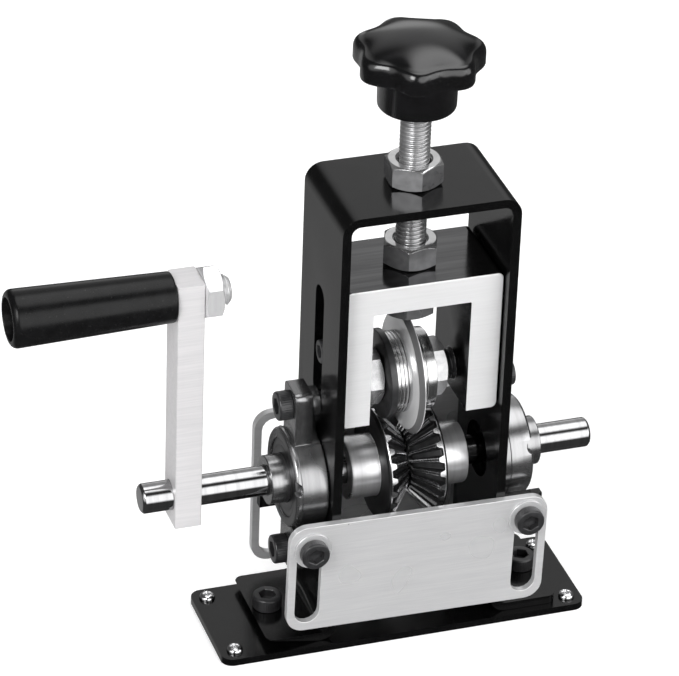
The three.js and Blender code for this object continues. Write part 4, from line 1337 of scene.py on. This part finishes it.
@dataclass
class DriveShaft:
    """The shaft and the two V rollers on it."""

    radius: float = 5.0
    chamfer: float = 0.8
    roller_radius: float = 19.0
    roller_rim: float = 3.0
    roller_face: float = 7.3
    tip_radius: float = 10.2
    tip_gap: float = 0.3
    hub_radius: float = 10.5
    shift: float = 0.2
    teeth: int = 24
    depth: float = 1.7
    depth_tip: float = 0.8
    crest: float = 0.26
    flank: float = 0.14
    highlight_line_width: float = 0.05
    tooth_columns: int = 16
    play: float = 0.15
    grub_x: float = 15.5
    grub_lean: Point = (0.0, 0.6, -0.8)
    grub_begin: float = 8.0

    def shaft(self) -> None:
        """Builds the shaft with a chamfer at each end."""
        low, high = node_box("drive_shaft")
        start, end, cut = low[0], high[0], self.chamfer
        corners = [
            (start, 0.0), (start, self.radius - cut), (start + cut, self.radius),
            (end - cut, self.radius), (end, self.radius - cut), (end, 0.0)]
        piece = turned("drive_shaft_dressed", softened(corners, 0.25), Axis.X, SHAFT, 96)
        placed(piece, finishes.shaft_chrome, "drive", ["drive_shaft"], Axis.X, SHAFT)

    def off_crest(self, angles: np.ndarray) -> np.ndarray:
        """Gives the distance of each angle from the middle of the nearest crest, in tooth pitches."""
        place = np.mod(angles / FULL_TURN * self.teeth, 1.0)
        return np.abs(np.mod(place - self.crest / 2 + 0.5, 1.0) - 0.5)

    def tooth_wave(self, angles: np.ndarray) -> np.ndarray:
        """Gives 0 on a crest and 1 in a groove, with straight flanks softened at both ends."""
        share = np.clip((self.off_crest(angles) - self.crest / 2) / self.flank, 0, 1)
        return share * share * (3 - 2 * share)

    def roller(self, side: int, word: str) -> None:
        """Builds one roller: hub, disc and toothed cone, with painted highlights as bright lines on its
        crests and a bright band round its rim.

        The cone runs straight from the rim to the tip. Each of its circles sinks by the tooth
        wave times a depth that shrinks towards the tip, both inwards and back along the shaft.

        Args:
            side: -1 for the left roller and 1 for the right one.
            word: The side's name.
        """
        columns = self.teeth * self.tooth_columns
        angles = column_angles(columns)
        wave = self.tooth_wave(angles)
        node = f"v_roller_{word}"
        low, high = node_box(node)
        hub_end = -low[0] + self.shift if side < 0 else high[0] - self.shift
        rim_back, rim = self.roller_face + self.roller_rim, self.roller_radius
        bore = self.radius + self.play
        rows = [
            (hub_end - 0.4, bore), (hub_end, bore + 0.4), (hub_end, self.hub_radius - 0.5),
            (hub_end - 0.15, self.hub_radius - 0.15), (hub_end - 0.5, self.hub_radius),
            (rim_back + 0.5, self.hub_radius), (rim_back + 0.1, self.hub_radius + 0.1),
            (rim_back, self.hub_radius + 0.5), (rim_back, rim - 1.1), (rim_back - 0.08, rim - 0.85),
            (rim_back - 0.85, rim - 0.08), (rim_back - 1.1, rim),
            (self.roller_face + self.depth + 0.25, rim),
            (self.roller_face + self.depth * wave + 0.1, rim - 0.02),
            (self.roller_face + self.depth * wave, rim - 0.1 - self.depth * wave)]
        for share in np.linspace(0.04, 0.97, 14):
            sink = (self.depth + (self.depth_tip - self.depth) * share) * wave
            along = self.roller_face + (self.tip_gap - self.roller_face) * share
            rows.append((along + sink, rim + (self.tip_radius - rim) * share - sink))
        rows += [
            (self.tip_gap + self.depth_tip * wave, self.tip_radius - 0.15 - self.depth_tip * wave),
            (self.tip_gap + 0.12 + self.depth_tip * wave, self.tip_radius - 0.4 - self.depth_tip * wave),
            (self.tip_gap + 0.5, bore + 1.5), (self.tip_gap + 0.5, bore + 0.3), (self.tip_gap + 0.8, bore)]
        profile = [(self.shift + side * along, radius) for along, radius in rows]
        profile = profile[::-1] if side > 0 else profile
        piece = turned(f"{node}_dressed", profile, Axis.X, SHAFT, columns, 0.0, True)
        placed(piece, finishes.roller_black, "drive", [node], Axis.X, SHAFT)
        # Painted highlights: thin bright lines along the crest edges of the teeth and a band round the rim
        middles = face_middles(piece)
        radius = np.hypot(middles[:, 1], middles[:, 2] - SHAFT_Z)
        along = (middles[:, 0] - self.shift) * side
        inwards = (self.tip_gap - self.roller_face) * (rim - radius) / (rim - self.tip_radius)
        line = self.roller_face + inwards
        off = self.off_crest(np.arctan2(middles[:, 2] - SHAFT_Z, middles[:, 1]))
        ridge = np.abs(off - self.crest / 2) < self.highlight_line_width
        crest = ridge & (along < line + 0.8) & (radius > self.tip_radius - 1) & (radius < rim - 0.6)
        rim_highlight = (radius > rim - 0.15) & (along < rim_back - 0.9)
        refinished(piece, finishes.roller_painted_highlight, crest | rim_highlight, Axis.X, SHAFT)
        hub = (radius < self.hub_radius + 0.15) & (along > rim_back)
        refinished(piece, finishes.hub_steel, hub, Axis.X, SHAFT)

    def hub_grub(self, side: int, word: str) -> None:
        """Builds the set screw in a roller's hub, its end flush with the hub.

        Args:
            side: -1 for the left roller and 1 for the right one.
            word: The side's name.
        """
        base = (self.shift + side * self.grub_x, 0.0, SHAFT_Z)
        screw = Grub().build(
            f"roller_grub_{word}", base, self.grub_lean, self.grub_begin, self.hub_radius + 0.05)
        placed(screw, finishes.black_oxide, "drive", (), Axis.X, base)

    def build(self) -> None:
        """Builds the shaft, both rollers and their set screws."""
        self.shaft()
        for side, word in SIDES:
            self.roller(side, word)
            self.hub_grub(side, word)


@dataclass
class Crank:
    """The arm, its grub screw, and the grip on its bolt."""

    edge: float = 0.3
    centre_x: float = -74.9
    grip_inner: float = 8.3
    grip_outer: float = 9.5
    mouth: float = 7.0
    mouth_depth: float = 15.0
    rounding: float = 2.2
    shoulder: float = 0.9
    nut_size: float = 16.0
    thread_begin: float = -78.0
    thread_chamfer: float = 1.2
    head_shank: float = 0.4

    def arm(self) -> None:
        """Dresses the arm and builds the grub screw in its lower end."""
        piece = packed_copy("crank_arm", self.edge)
        placed(piece, finishes.arm_alloy, "drive", ["crank_arm"], Axis.Z, (self.centre_x, 0, SHAFT_Z))
        low, high = node_box("crank_grub")
        base = (self.centre_x, 0.0, SHAFT_Z)
        begin, end = SHAFT_Z - high[2], SHAFT_Z - low[2]
        grub = Grub().build("crank_grub_dressed", base, (0.0, 0.0, -1.0), begin, end)
        placed(grub, finishes.black_oxide, "drive", ["crank_grub"], Axis.Z, base)

    def grip(self) -> None:
        """Builds the grip: a tapered sleeve with a rounded outer ring round its mouth.

        The wall's radius grows in a straight line from the arm to the outer end, and turns in
        over an arc at each end.
        """
        low, high = node_box("handle_grip")
        outer, inner, bore = low[0], high[0], 5.3
        steps = np.linspace(0, 1, 22)
        begin, end = outer + self.rounding, inner - self.shoulder
        wall = self.grip_outer + (self.grip_inner - self.grip_outer) * steps
        body = np.stack([begin + (end - begin) * steps, wall], axis=1)
        arc = np.linspace(0, math.pi / 2, 8)[:-1]
        lip = np.stack([
            outer + self.rounding - self.rounding * np.cos(arc),
            self.mouth + 0.35 + (self.grip_outer - self.mouth - 0.35) * np.sin(arc) ** 0.9], axis=1)
        bend = arc[1:] * 1.1
        shoulder = np.stack([
            end + self.shoulder * np.sin(bend),
            self.grip_inner - self.shoulder * (1 - np.cos(bend))], axis=1)
        deep = outer + self.mouth_depth
        profile = np.concatenate([
            [(deep, bore), (deep, self.mouth - 0.4), (deep - 0.4, self.mouth), (outer + 0.3, self.mouth),
             (outer + 0.08, self.mouth + 0.1)],
            lip, body, shoulder,
            [(inner, self.grip_inner - 1.2), (inner, bore + 0.3), (inner - 0.3, bore)]])
        piece = turned("handle_grip_dressed", profile, Axis.X, GRIP, 96, 0.0, True)
        placed(piece, finishes.grip_rubber, "grip", ["handle_grip"], Axis.X, GRIP)

    def bolt(self) -> None:
        """Builds the grip's bolt, threaded where it passes the arm, and the nut behind it."""
        low, high = node_box("grip_bolt")
        seat = low[0] + BOLT_CAP.head_height
        stem = M10_THREAD.rod(
            "grip_bolt_dressed", Axis.X, GRIP, seat, high[0], self.thread_begin, self.thread_chamfer)
        placed(stem, finishes.bright_nickel, "drive", ["grip_bolt"], Axis.X, GRIP)
        head = BOLT_CAP.build(
            "grip_bolt_head", Axis.X, (seat, 0.0, GRIP[2]), -1, self.head_shank, math.pi / 6)
        placed(head, finishes.bright_nickel, "drive", (), Axis.X, GRIP)
        node_nut("grip_nut", Axis.X, GRIP, self.nut_size, 0.0, finishes.bright_nickel, "drive")

    def build(self) -> None:
        """Builds the arm, the grip and its bolt."""
        self.arm()
        self.grip()
        self.bolt()


@dataclass
class GuidePlates:
    """The front and rear guide plates with their screws and washers."""

    edge: float = 0.25
    screw_x: float = 37.3
    screw_z: float = 41.1
    washer_bore: float = 3.3
    washer_radius: float = 6.4
    washer_edge: float = 0.18
    shank: float = 7.5

    def row(self, word: str, way: int) -> None:
        """Builds one plate with its two screws and washers.

        Args:
            word: The row's name, front or rear.
            way: -1 at the front and 1 at the back.
        """
        plate = packed_copy(f"guide_plate_{word}", self.edge)
        placed(plate, finishes.guide_steel, f"{word}_guide", [f"guide_plate_{word}"], Axis.X)
        for side, name in SIDES:
            centre = (side * self.screw_x, 0.0, self.screw_z)
            node_ring(
                f"guide_washer_{word}_{name}", Axis.Y, centre, self.washer_bore, self.washer_radius,
                self.washer_edge, finishes.bright_nickel, "base")
            node = f"guide_screw_{word}_{name}"
            node_screw(node, GUIDE_CAP, Axis.Y, way, centre, self.shank, 0.0, "base")

    def build(self) -> None:
        """Builds both rows."""
        self.row("front", -1)
        self.row("rear", 1)


@dataclass
class Carrier:
    """The upside-down U block and its two guide screws."""

    edge: float = 0.35
    screw_z: float = 102.6
    shank: float = 7.0
    grain_z: float = 107.0

    def build(self) -> None:
        """Dresses the block, with painted shade on every face but the front and back, and builds the guide
        screws.
        """
        block = packed_copy("blade_carrier", self.edge)
        centre = (0.0, 0.0, self.grain_z)
        placed(block, finishes.carrier_alloy, "carrier", ["blade_carrier"], Axis.X, centre)
        # Every face that doesn't face front or back gets a darker copy of the alloy, and the inward faces a
        # near-black one: painted shade
        normals, middles = face_normals(block), face_middles(block)
        refinished(block, finishes.polished_alloy, np.abs(normals[:, 1]) < 0.5)
        inside = (np.abs(normals[:, 0]) > 0.5) & (normals[:, 0] * middles[:, 0] < 0)
        refinished(block, finishes.inner_alloy_painted_shade, inside)
        for side, word in SIDES:
            line = (0.0, 0.0, self.screw_z)
            node_screw(
                f"carrier_guide_screw_{word}", CARRIER_CAP, Axis.X, side, line, self.shank,
                math.pi / 6, "carrier")


@dataclass
class BladeStack:
    """The axle, the blade, its spacers and the nuts at both ends."""

    bore: float = 5.15
    washer_radius: float = 13.6
    collar_radius: float = 14.9
    blade_edge: float = 21.2
    blade_face: float = 19.4
    nut_size: float = 17.0

    def blade(self) -> None:
        """Builds the blade: a flat left face, a wide ground bevel and a thin land at the edge."""
        low, high = node_box("cutting_blade")
        left, right = low[0], high[0]
        corners = [
            (left, self.bore), (left, self.blade_face - 0.1), (left + 0.05, self.blade_face),
            (right - 0.25, self.blade_edge), (right, self.blade_edge - 0.02), (right, self.bore)]
        piece = turned("cutting_blade_dressed", corners, Axis.X, AXLE, 192, 0.0, True)
        placed(piece, finishes.blade_bright, "blade", ["cutting_blade"], Axis.X, AXLE)
        middles = face_middles(piece)
        radius = np.hypot(middles[:, 1], middles[:, 2] - AXLE[2])
        # The bevel gets the darker steel: rougher, and its dark tone is painted shade
        bevel = (radius > self.blade_face) & (middles[:, 0] < right - 0.2)
        refinished(piece, finishes.blade_bevel_painted_shade, bevel, Axis.X, AXLE)

    def ring(self, node: str, radius: float, finish: Finish, edge: float) -> None:
        """Builds one ring of the stack where its node stands."""
        node_ring(node, Axis.X, AXLE, self.bore, radius, edge, finish, "blade", 128)

    def axle(self) -> None:
        """Builds the axle, threaded all along."""
        low, high = node_box("blade_axle")
        piece = M10_THREAD.rod("blade_axle_dressed", Axis.X, AXLE, low[0], high[0])
        placed(piece, finishes.black_oxide, "blade", ["blade_axle"], Axis.X, AXLE)

    def build(self) -> None:
        """Builds the whole stack."""
        self.blade()
        self.axle()
        for number in range(1, 5):
            self.ring(f"spacer_washer_left_{number}", self.washer_radius, finishes.washer_steel, 0.2)
        for number in range(1, 3):
            self.ring(f"spacer_washer_right_{number}", self.washer_radius, finishes.washer_steel, 0.3)
        self.ring("spacer_collar", self.collar_radius, finishes.black_oxide, 0.35)
        for _, word in SIDES:
            node = f"axle_nut_{word}"
            node_nut(node, Axis.X, AXLE, self.nut_size, math.pi / 6, finishes.screw_zinc, "blade")


@dataclass
class PressureScrew:
    """The threaded spindle, its two nuts and the star knob."""

    nut_turn: float = -0.36
    nut_size: float = 17.0
    knob_radius: float = 21.4
    lobe_depth: float = 2.6
    lobes: int = 7
    lobe_turn: float = 4.34
    hub_radius: float = 12.9
    hub_bottom: float = 189.2
    rim_bottom: float = 202.7
    rim_top: float = 207.5
    shoulder_top: float = 210.6
    top: float = 215.2
    shoulder: float = 2.5
    shoulder_drop: float = 0.35
    bore: float = 5.15
    bore_depth: float = 15.7
    lobe_columns: int = 32

    def spindle(self) -> None:
        """Builds the spindle with its thread from end to end."""
        low, high = node_box("pressure_screw")
        piece = M10_THREAD.rod("pressure_screw_dressed", Axis.Z, (0, 0, 0), low[2], high[2])
        placed(piece, finishes.screw_zinc, "screw", ["pressure_screw"], Axis.Z)

    def nuts(self) -> None:
        """Builds the nuts above and below the carrier's bar."""
        for place in ("upper", "lower"):
            nut = node_nut(
                f"carrier_nut_{place}", Axis.Z, (0.0, 0.0, 0.0), self.nut_size, self.nut_turn,
                finishes.nut_zinc_painted_light, "screw")
            # The flats get the dark copy of the zinc, painted shade, and the end faces the bright one,
            # painted light
            refinished(nut, finishes.nut_zinc_painted_shade, np.abs(face_normals(nut)[:, 2]) < 0.2, Axis.Z)

    def knob(self) -> None:
        """Builds the knob: hub, lobed rim, rounded shoulder and dome.

        The rim's radius falls by half the lobe depth times (1 - cos(lobes * angle)). The lobes
        fade with the square of the distance from the middle on the shoulder, and with its fifth
        power on the dome. The dome's height falls with the square of that distance.
        """
        columns = self.lobes * self.lobe_columns
        angles = column_angles(columns)
        swell = (1 - np.cos((angles - self.lobe_turn) * self.lobes)) / 2
        lobed = self.knob_radius - self.lobe_depth * swell
        neck = self.knob_radius - self.shoulder
        foot, hub, bore = self.hub_bottom, self.hub_radius, self.bore
        deep = foot + self.bore_depth
        rows = [
            (deep, 0.0), (deep, bore), (foot + 0.5, bore), (foot, bore + 0.5), (foot, hub - 1.0),
            (foot + 0.12, hub - 0.6), (foot + 0.5, hub - 0.3), (foot + 1.0, hub - 0.2),
            (self.rim_bottom - 0.7, hub), (self.rim_bottom - 0.2, hub + 0.15), (self.rim_bottom, hub + 0.6),
            (self.rim_bottom, lobed - 0.9), (self.rim_bottom + 0.1, lobed - 0.5),
            (self.rim_bottom + 0.35, lobed - 0.18), (self.rim_bottom + 0.8, lobed)]
        for step in np.linspace(0, math.pi / 2, 9):
            reach = neck + self.shoulder * math.cos(step)
            climb = (self.shoulder_top - self.rim_top + self.shoulder_drop) * math.sin(step)
            height = self.rim_top - self.shoulder_drop + climb
            rows.append((height, reach - (self.knob_radius - lobed) * (reach / self.knob_radius) ** 2))
        for share in np.linspace(1, 0, 15)[1:]:
            reach = neck * share
            height = self.top - (self.top - self.shoulder_top) * share ** 2
            fade = share ** 3 * (reach / self.knob_radius) ** 2
            rows.append((height, reach - (self.knob_radius - lobed) * fade))
        piece = turned("star_knob_dressed", rows, Axis.Z, (0, 0, 0), columns)
        placed(piece, finishes.knob_plastic, "screw", ["star_knob"], Axis.Z)

    def build(self) -> None:
        """Builds the spindle, its nuts and the knob."""
        self.spindle()
        self.nuts()
        self.knob()


# Studio


@dataclass(frozen=True)
class SoftBox:
    """One soft light round the studio: its middle, the angles of its edge and its strength."""

    middle: Point
    inner: float
    outer: float
    strength: float


@dataclass
class Studio:
    """A pale floor, soft lights and the camera of the photo."""

    camera_place: Point = (-415.66, -1120.32, 824.98)
    camera_right: Point = (0.94946, -0.31228, 0.03210)
    camera_up: Point = (0.13574, 0.50057, 0.85499)
    camera_forward: Point = (0.28309, 0.80740, -0.51765)
    lens: float = 227.3
    floor_reach: float = 3000.0
    floor_drop: float = 0.1
    lit_point: Point = (-20.0, 0.0, 90.0)
    ground_tone: float = 0.07
    boxes: tuple[SoftBox, ...] = (
        SoftBox((0.28, 0.12, 0.95), 13.0, 32.0, 2.6),
        SoftBox((0.28, -0.91, 0.3), 18.0, 34.0, 2.4),
        SoftBox((0.28, 0.81, 0.52), 10.0, 32.0, 0.5),
        SoftBox((0.28, 0.94, 0.17), 3.0, 14.0, 0.6),
        SoftBox((-0.28, 0.81, -0.52), 14.0, 34.0, 0.27),
        SoftBox((-1.0, -0.5, 0.45), 14.0, 34.0, 1.2),
        SoftBox((0.9, -0.7, 0.3), 10.0, 30.0, 0.8),
    )

    def camera(self) -> None:
        """Sets the camera at the photo's view."""
        data = bpy.data.cameras.new("photo_view")
        data.lens = self.lens
        data.sensor_width = 36.0
        data.clip_end = 50.0
        made = bpy.data.objects.new("photo_view", data)
        bpy.context.scene.collection.objects.link(made)
        back = tuple(-value for value in self.camera_forward)
        turn = Matrix((self.camera_right, self.camera_up, back)).transposed().to_4x4()
        place = Matrix.Translation(np.asarray(self.camera_place) * MM)
        made.matrix_world = place @ turn
        bpy.context.scene.camera = made

    def floor(self) -> None:
        """Lays a wide pale floor under the base plate."""
        square = np.array([(-1.0, -1.0), (1.0, -1.0), (1.0, 1.0), (-1.0, 1.0)]) * self.floor_reach
        corners = np.column_stack([square, np.full(4, -self.floor_drop)])
        made = shell("pale_floor", corners, np.array([[0, 1, 2, 3]]))
        paint = bpy.data.materials.new("pale_floor")
        paint.use_nodes = True
        shader = paint.node_tree.nodes["Principled BSDF"]
        shader.inputs["Base Color"].default_value = (0.93, 0.93, 0.93, 1.0)
        shader.inputs["Roughness"].default_value = 0.6
        shader.inputs["Specular IOR Level"].default_value = 0.2
        shader.inputs["Emission Color"].default_value = (1.0, 1.0, 1.0, 1.0)
        shader.inputs["Emission Strength"].default_value = 0.3
        made.data.materials.append(paint)
        made.visible_glossy = False

    def light(self, name: str, place: Point, target: Point, size: tuple[float, float],
              power: float) -> None:
        """Hangs one rectangular soft light.

        Args:
            name: The light's name.
            place: Where it hangs, in millimetres.
            target: The point that it faces.
            size: Its width and height in millimetres.
            power: Its power in watts.
        """
        data = bpy.data.lights.new(name, "AREA")
        data.shape = "RECTANGLE"
        data.size, data.size_y = size[0] * MM, size[1] * MM
        data.energy = power
        made = bpy.data.objects.new(name, data)
        bpy.context.scene.collection.objects.link(made)
        facing = Vector(target) - Vector(place)
        made.rotation_euler = facing.to_track_quat("-Z", "Y").to_euler()
        made.location = np.asarray(place) * MM

    def sky(self) -> None:
        """Paints the studio's surroundings for reflections, and leaves the background white.

        The brightness in a direction is the ground tone plus, for each soft box, its strength
        times a smooth step between its outer and inner angle from the box's middle.
        """
        world = bpy.data.worlds.new("studio")
        world.use_nodes = True
        tree = world.node_tree
        backdrop = tree.nodes["Background"]
        backdrop.inputs["Color"].default_value = (1.0, 1.0, 1.0, 1.0)
        direction = tree.nodes.new("ShaderNodeTexCoord").outputs["Generated"]
        total = self.ground_tone
        for box in self.boxes:
            dot = tree.nodes.new("ShaderNodeVectorMath")
            dot.operation = "DOT_PRODUCT"
            tree.links.new(direction, dot.inputs[0])
            dot.inputs[1].default_value = Vector(box.middle).normalized()
            step = tree.nodes.new("ShaderNodeMapRange")
            step.interpolation_type = "SMOOTHSTEP"
            step.inputs["From Min"].default_value = math.cos(math.radians(box.outer))
            step.inputs["From Max"].default_value = math.cos(math.radians(box.inner))
            step.inputs["To Max"].default_value = box.strength
            tree.links.new(dot.outputs["Value"], step.inputs["Value"])
            total = computed(tree, "ADD", step.outputs["Result"], total)
        seen = tree.nodes.new("ShaderNodeLightPath").outputs["Is Camera Ray"]
        unseen = computed(tree, "SUBTRACT", 1.0, seen)
        kept = computed(tree, "MULTIPLY", unseen, computed(tree, "MAXIMUM", total, 0.0))
        tree.links.new(computed(tree, "ADD", kept, seen), backdrop.inputs["Strength"])
        bpy.context.scene.world = world

    def build(self) -> None:
        """Builds the surroundings, floor, lights and camera."""
        bpy.context.scene.view_settings.view_transform = "Standard"
        self.sky()
        self.floor()
        self.light("key_left", (-700, -600, 750), self.lit_point, (400, 600), 7.0)
        self.light("fill_right", (800, -500, 400), self.lit_point, (500, 700), 2.0)
        self.camera()


def main() -> None:
    """Builds the studio and every sub-assembly, in order from the base up."""
    logging.basicConfig(level=logging.INFO, format="%(message)s")
    Studio().build()
    BasePlate().build()
    Arch().build()
    for side, word in SIDES:
        Bearing(side, word).build()
    DriveShaft().build()
    Crank().build()
    GuidePlates().build()
    Carrier().build()
    BladeStack().build()
    PressureScrew().build()


if __name__ == "__main__":
    main()
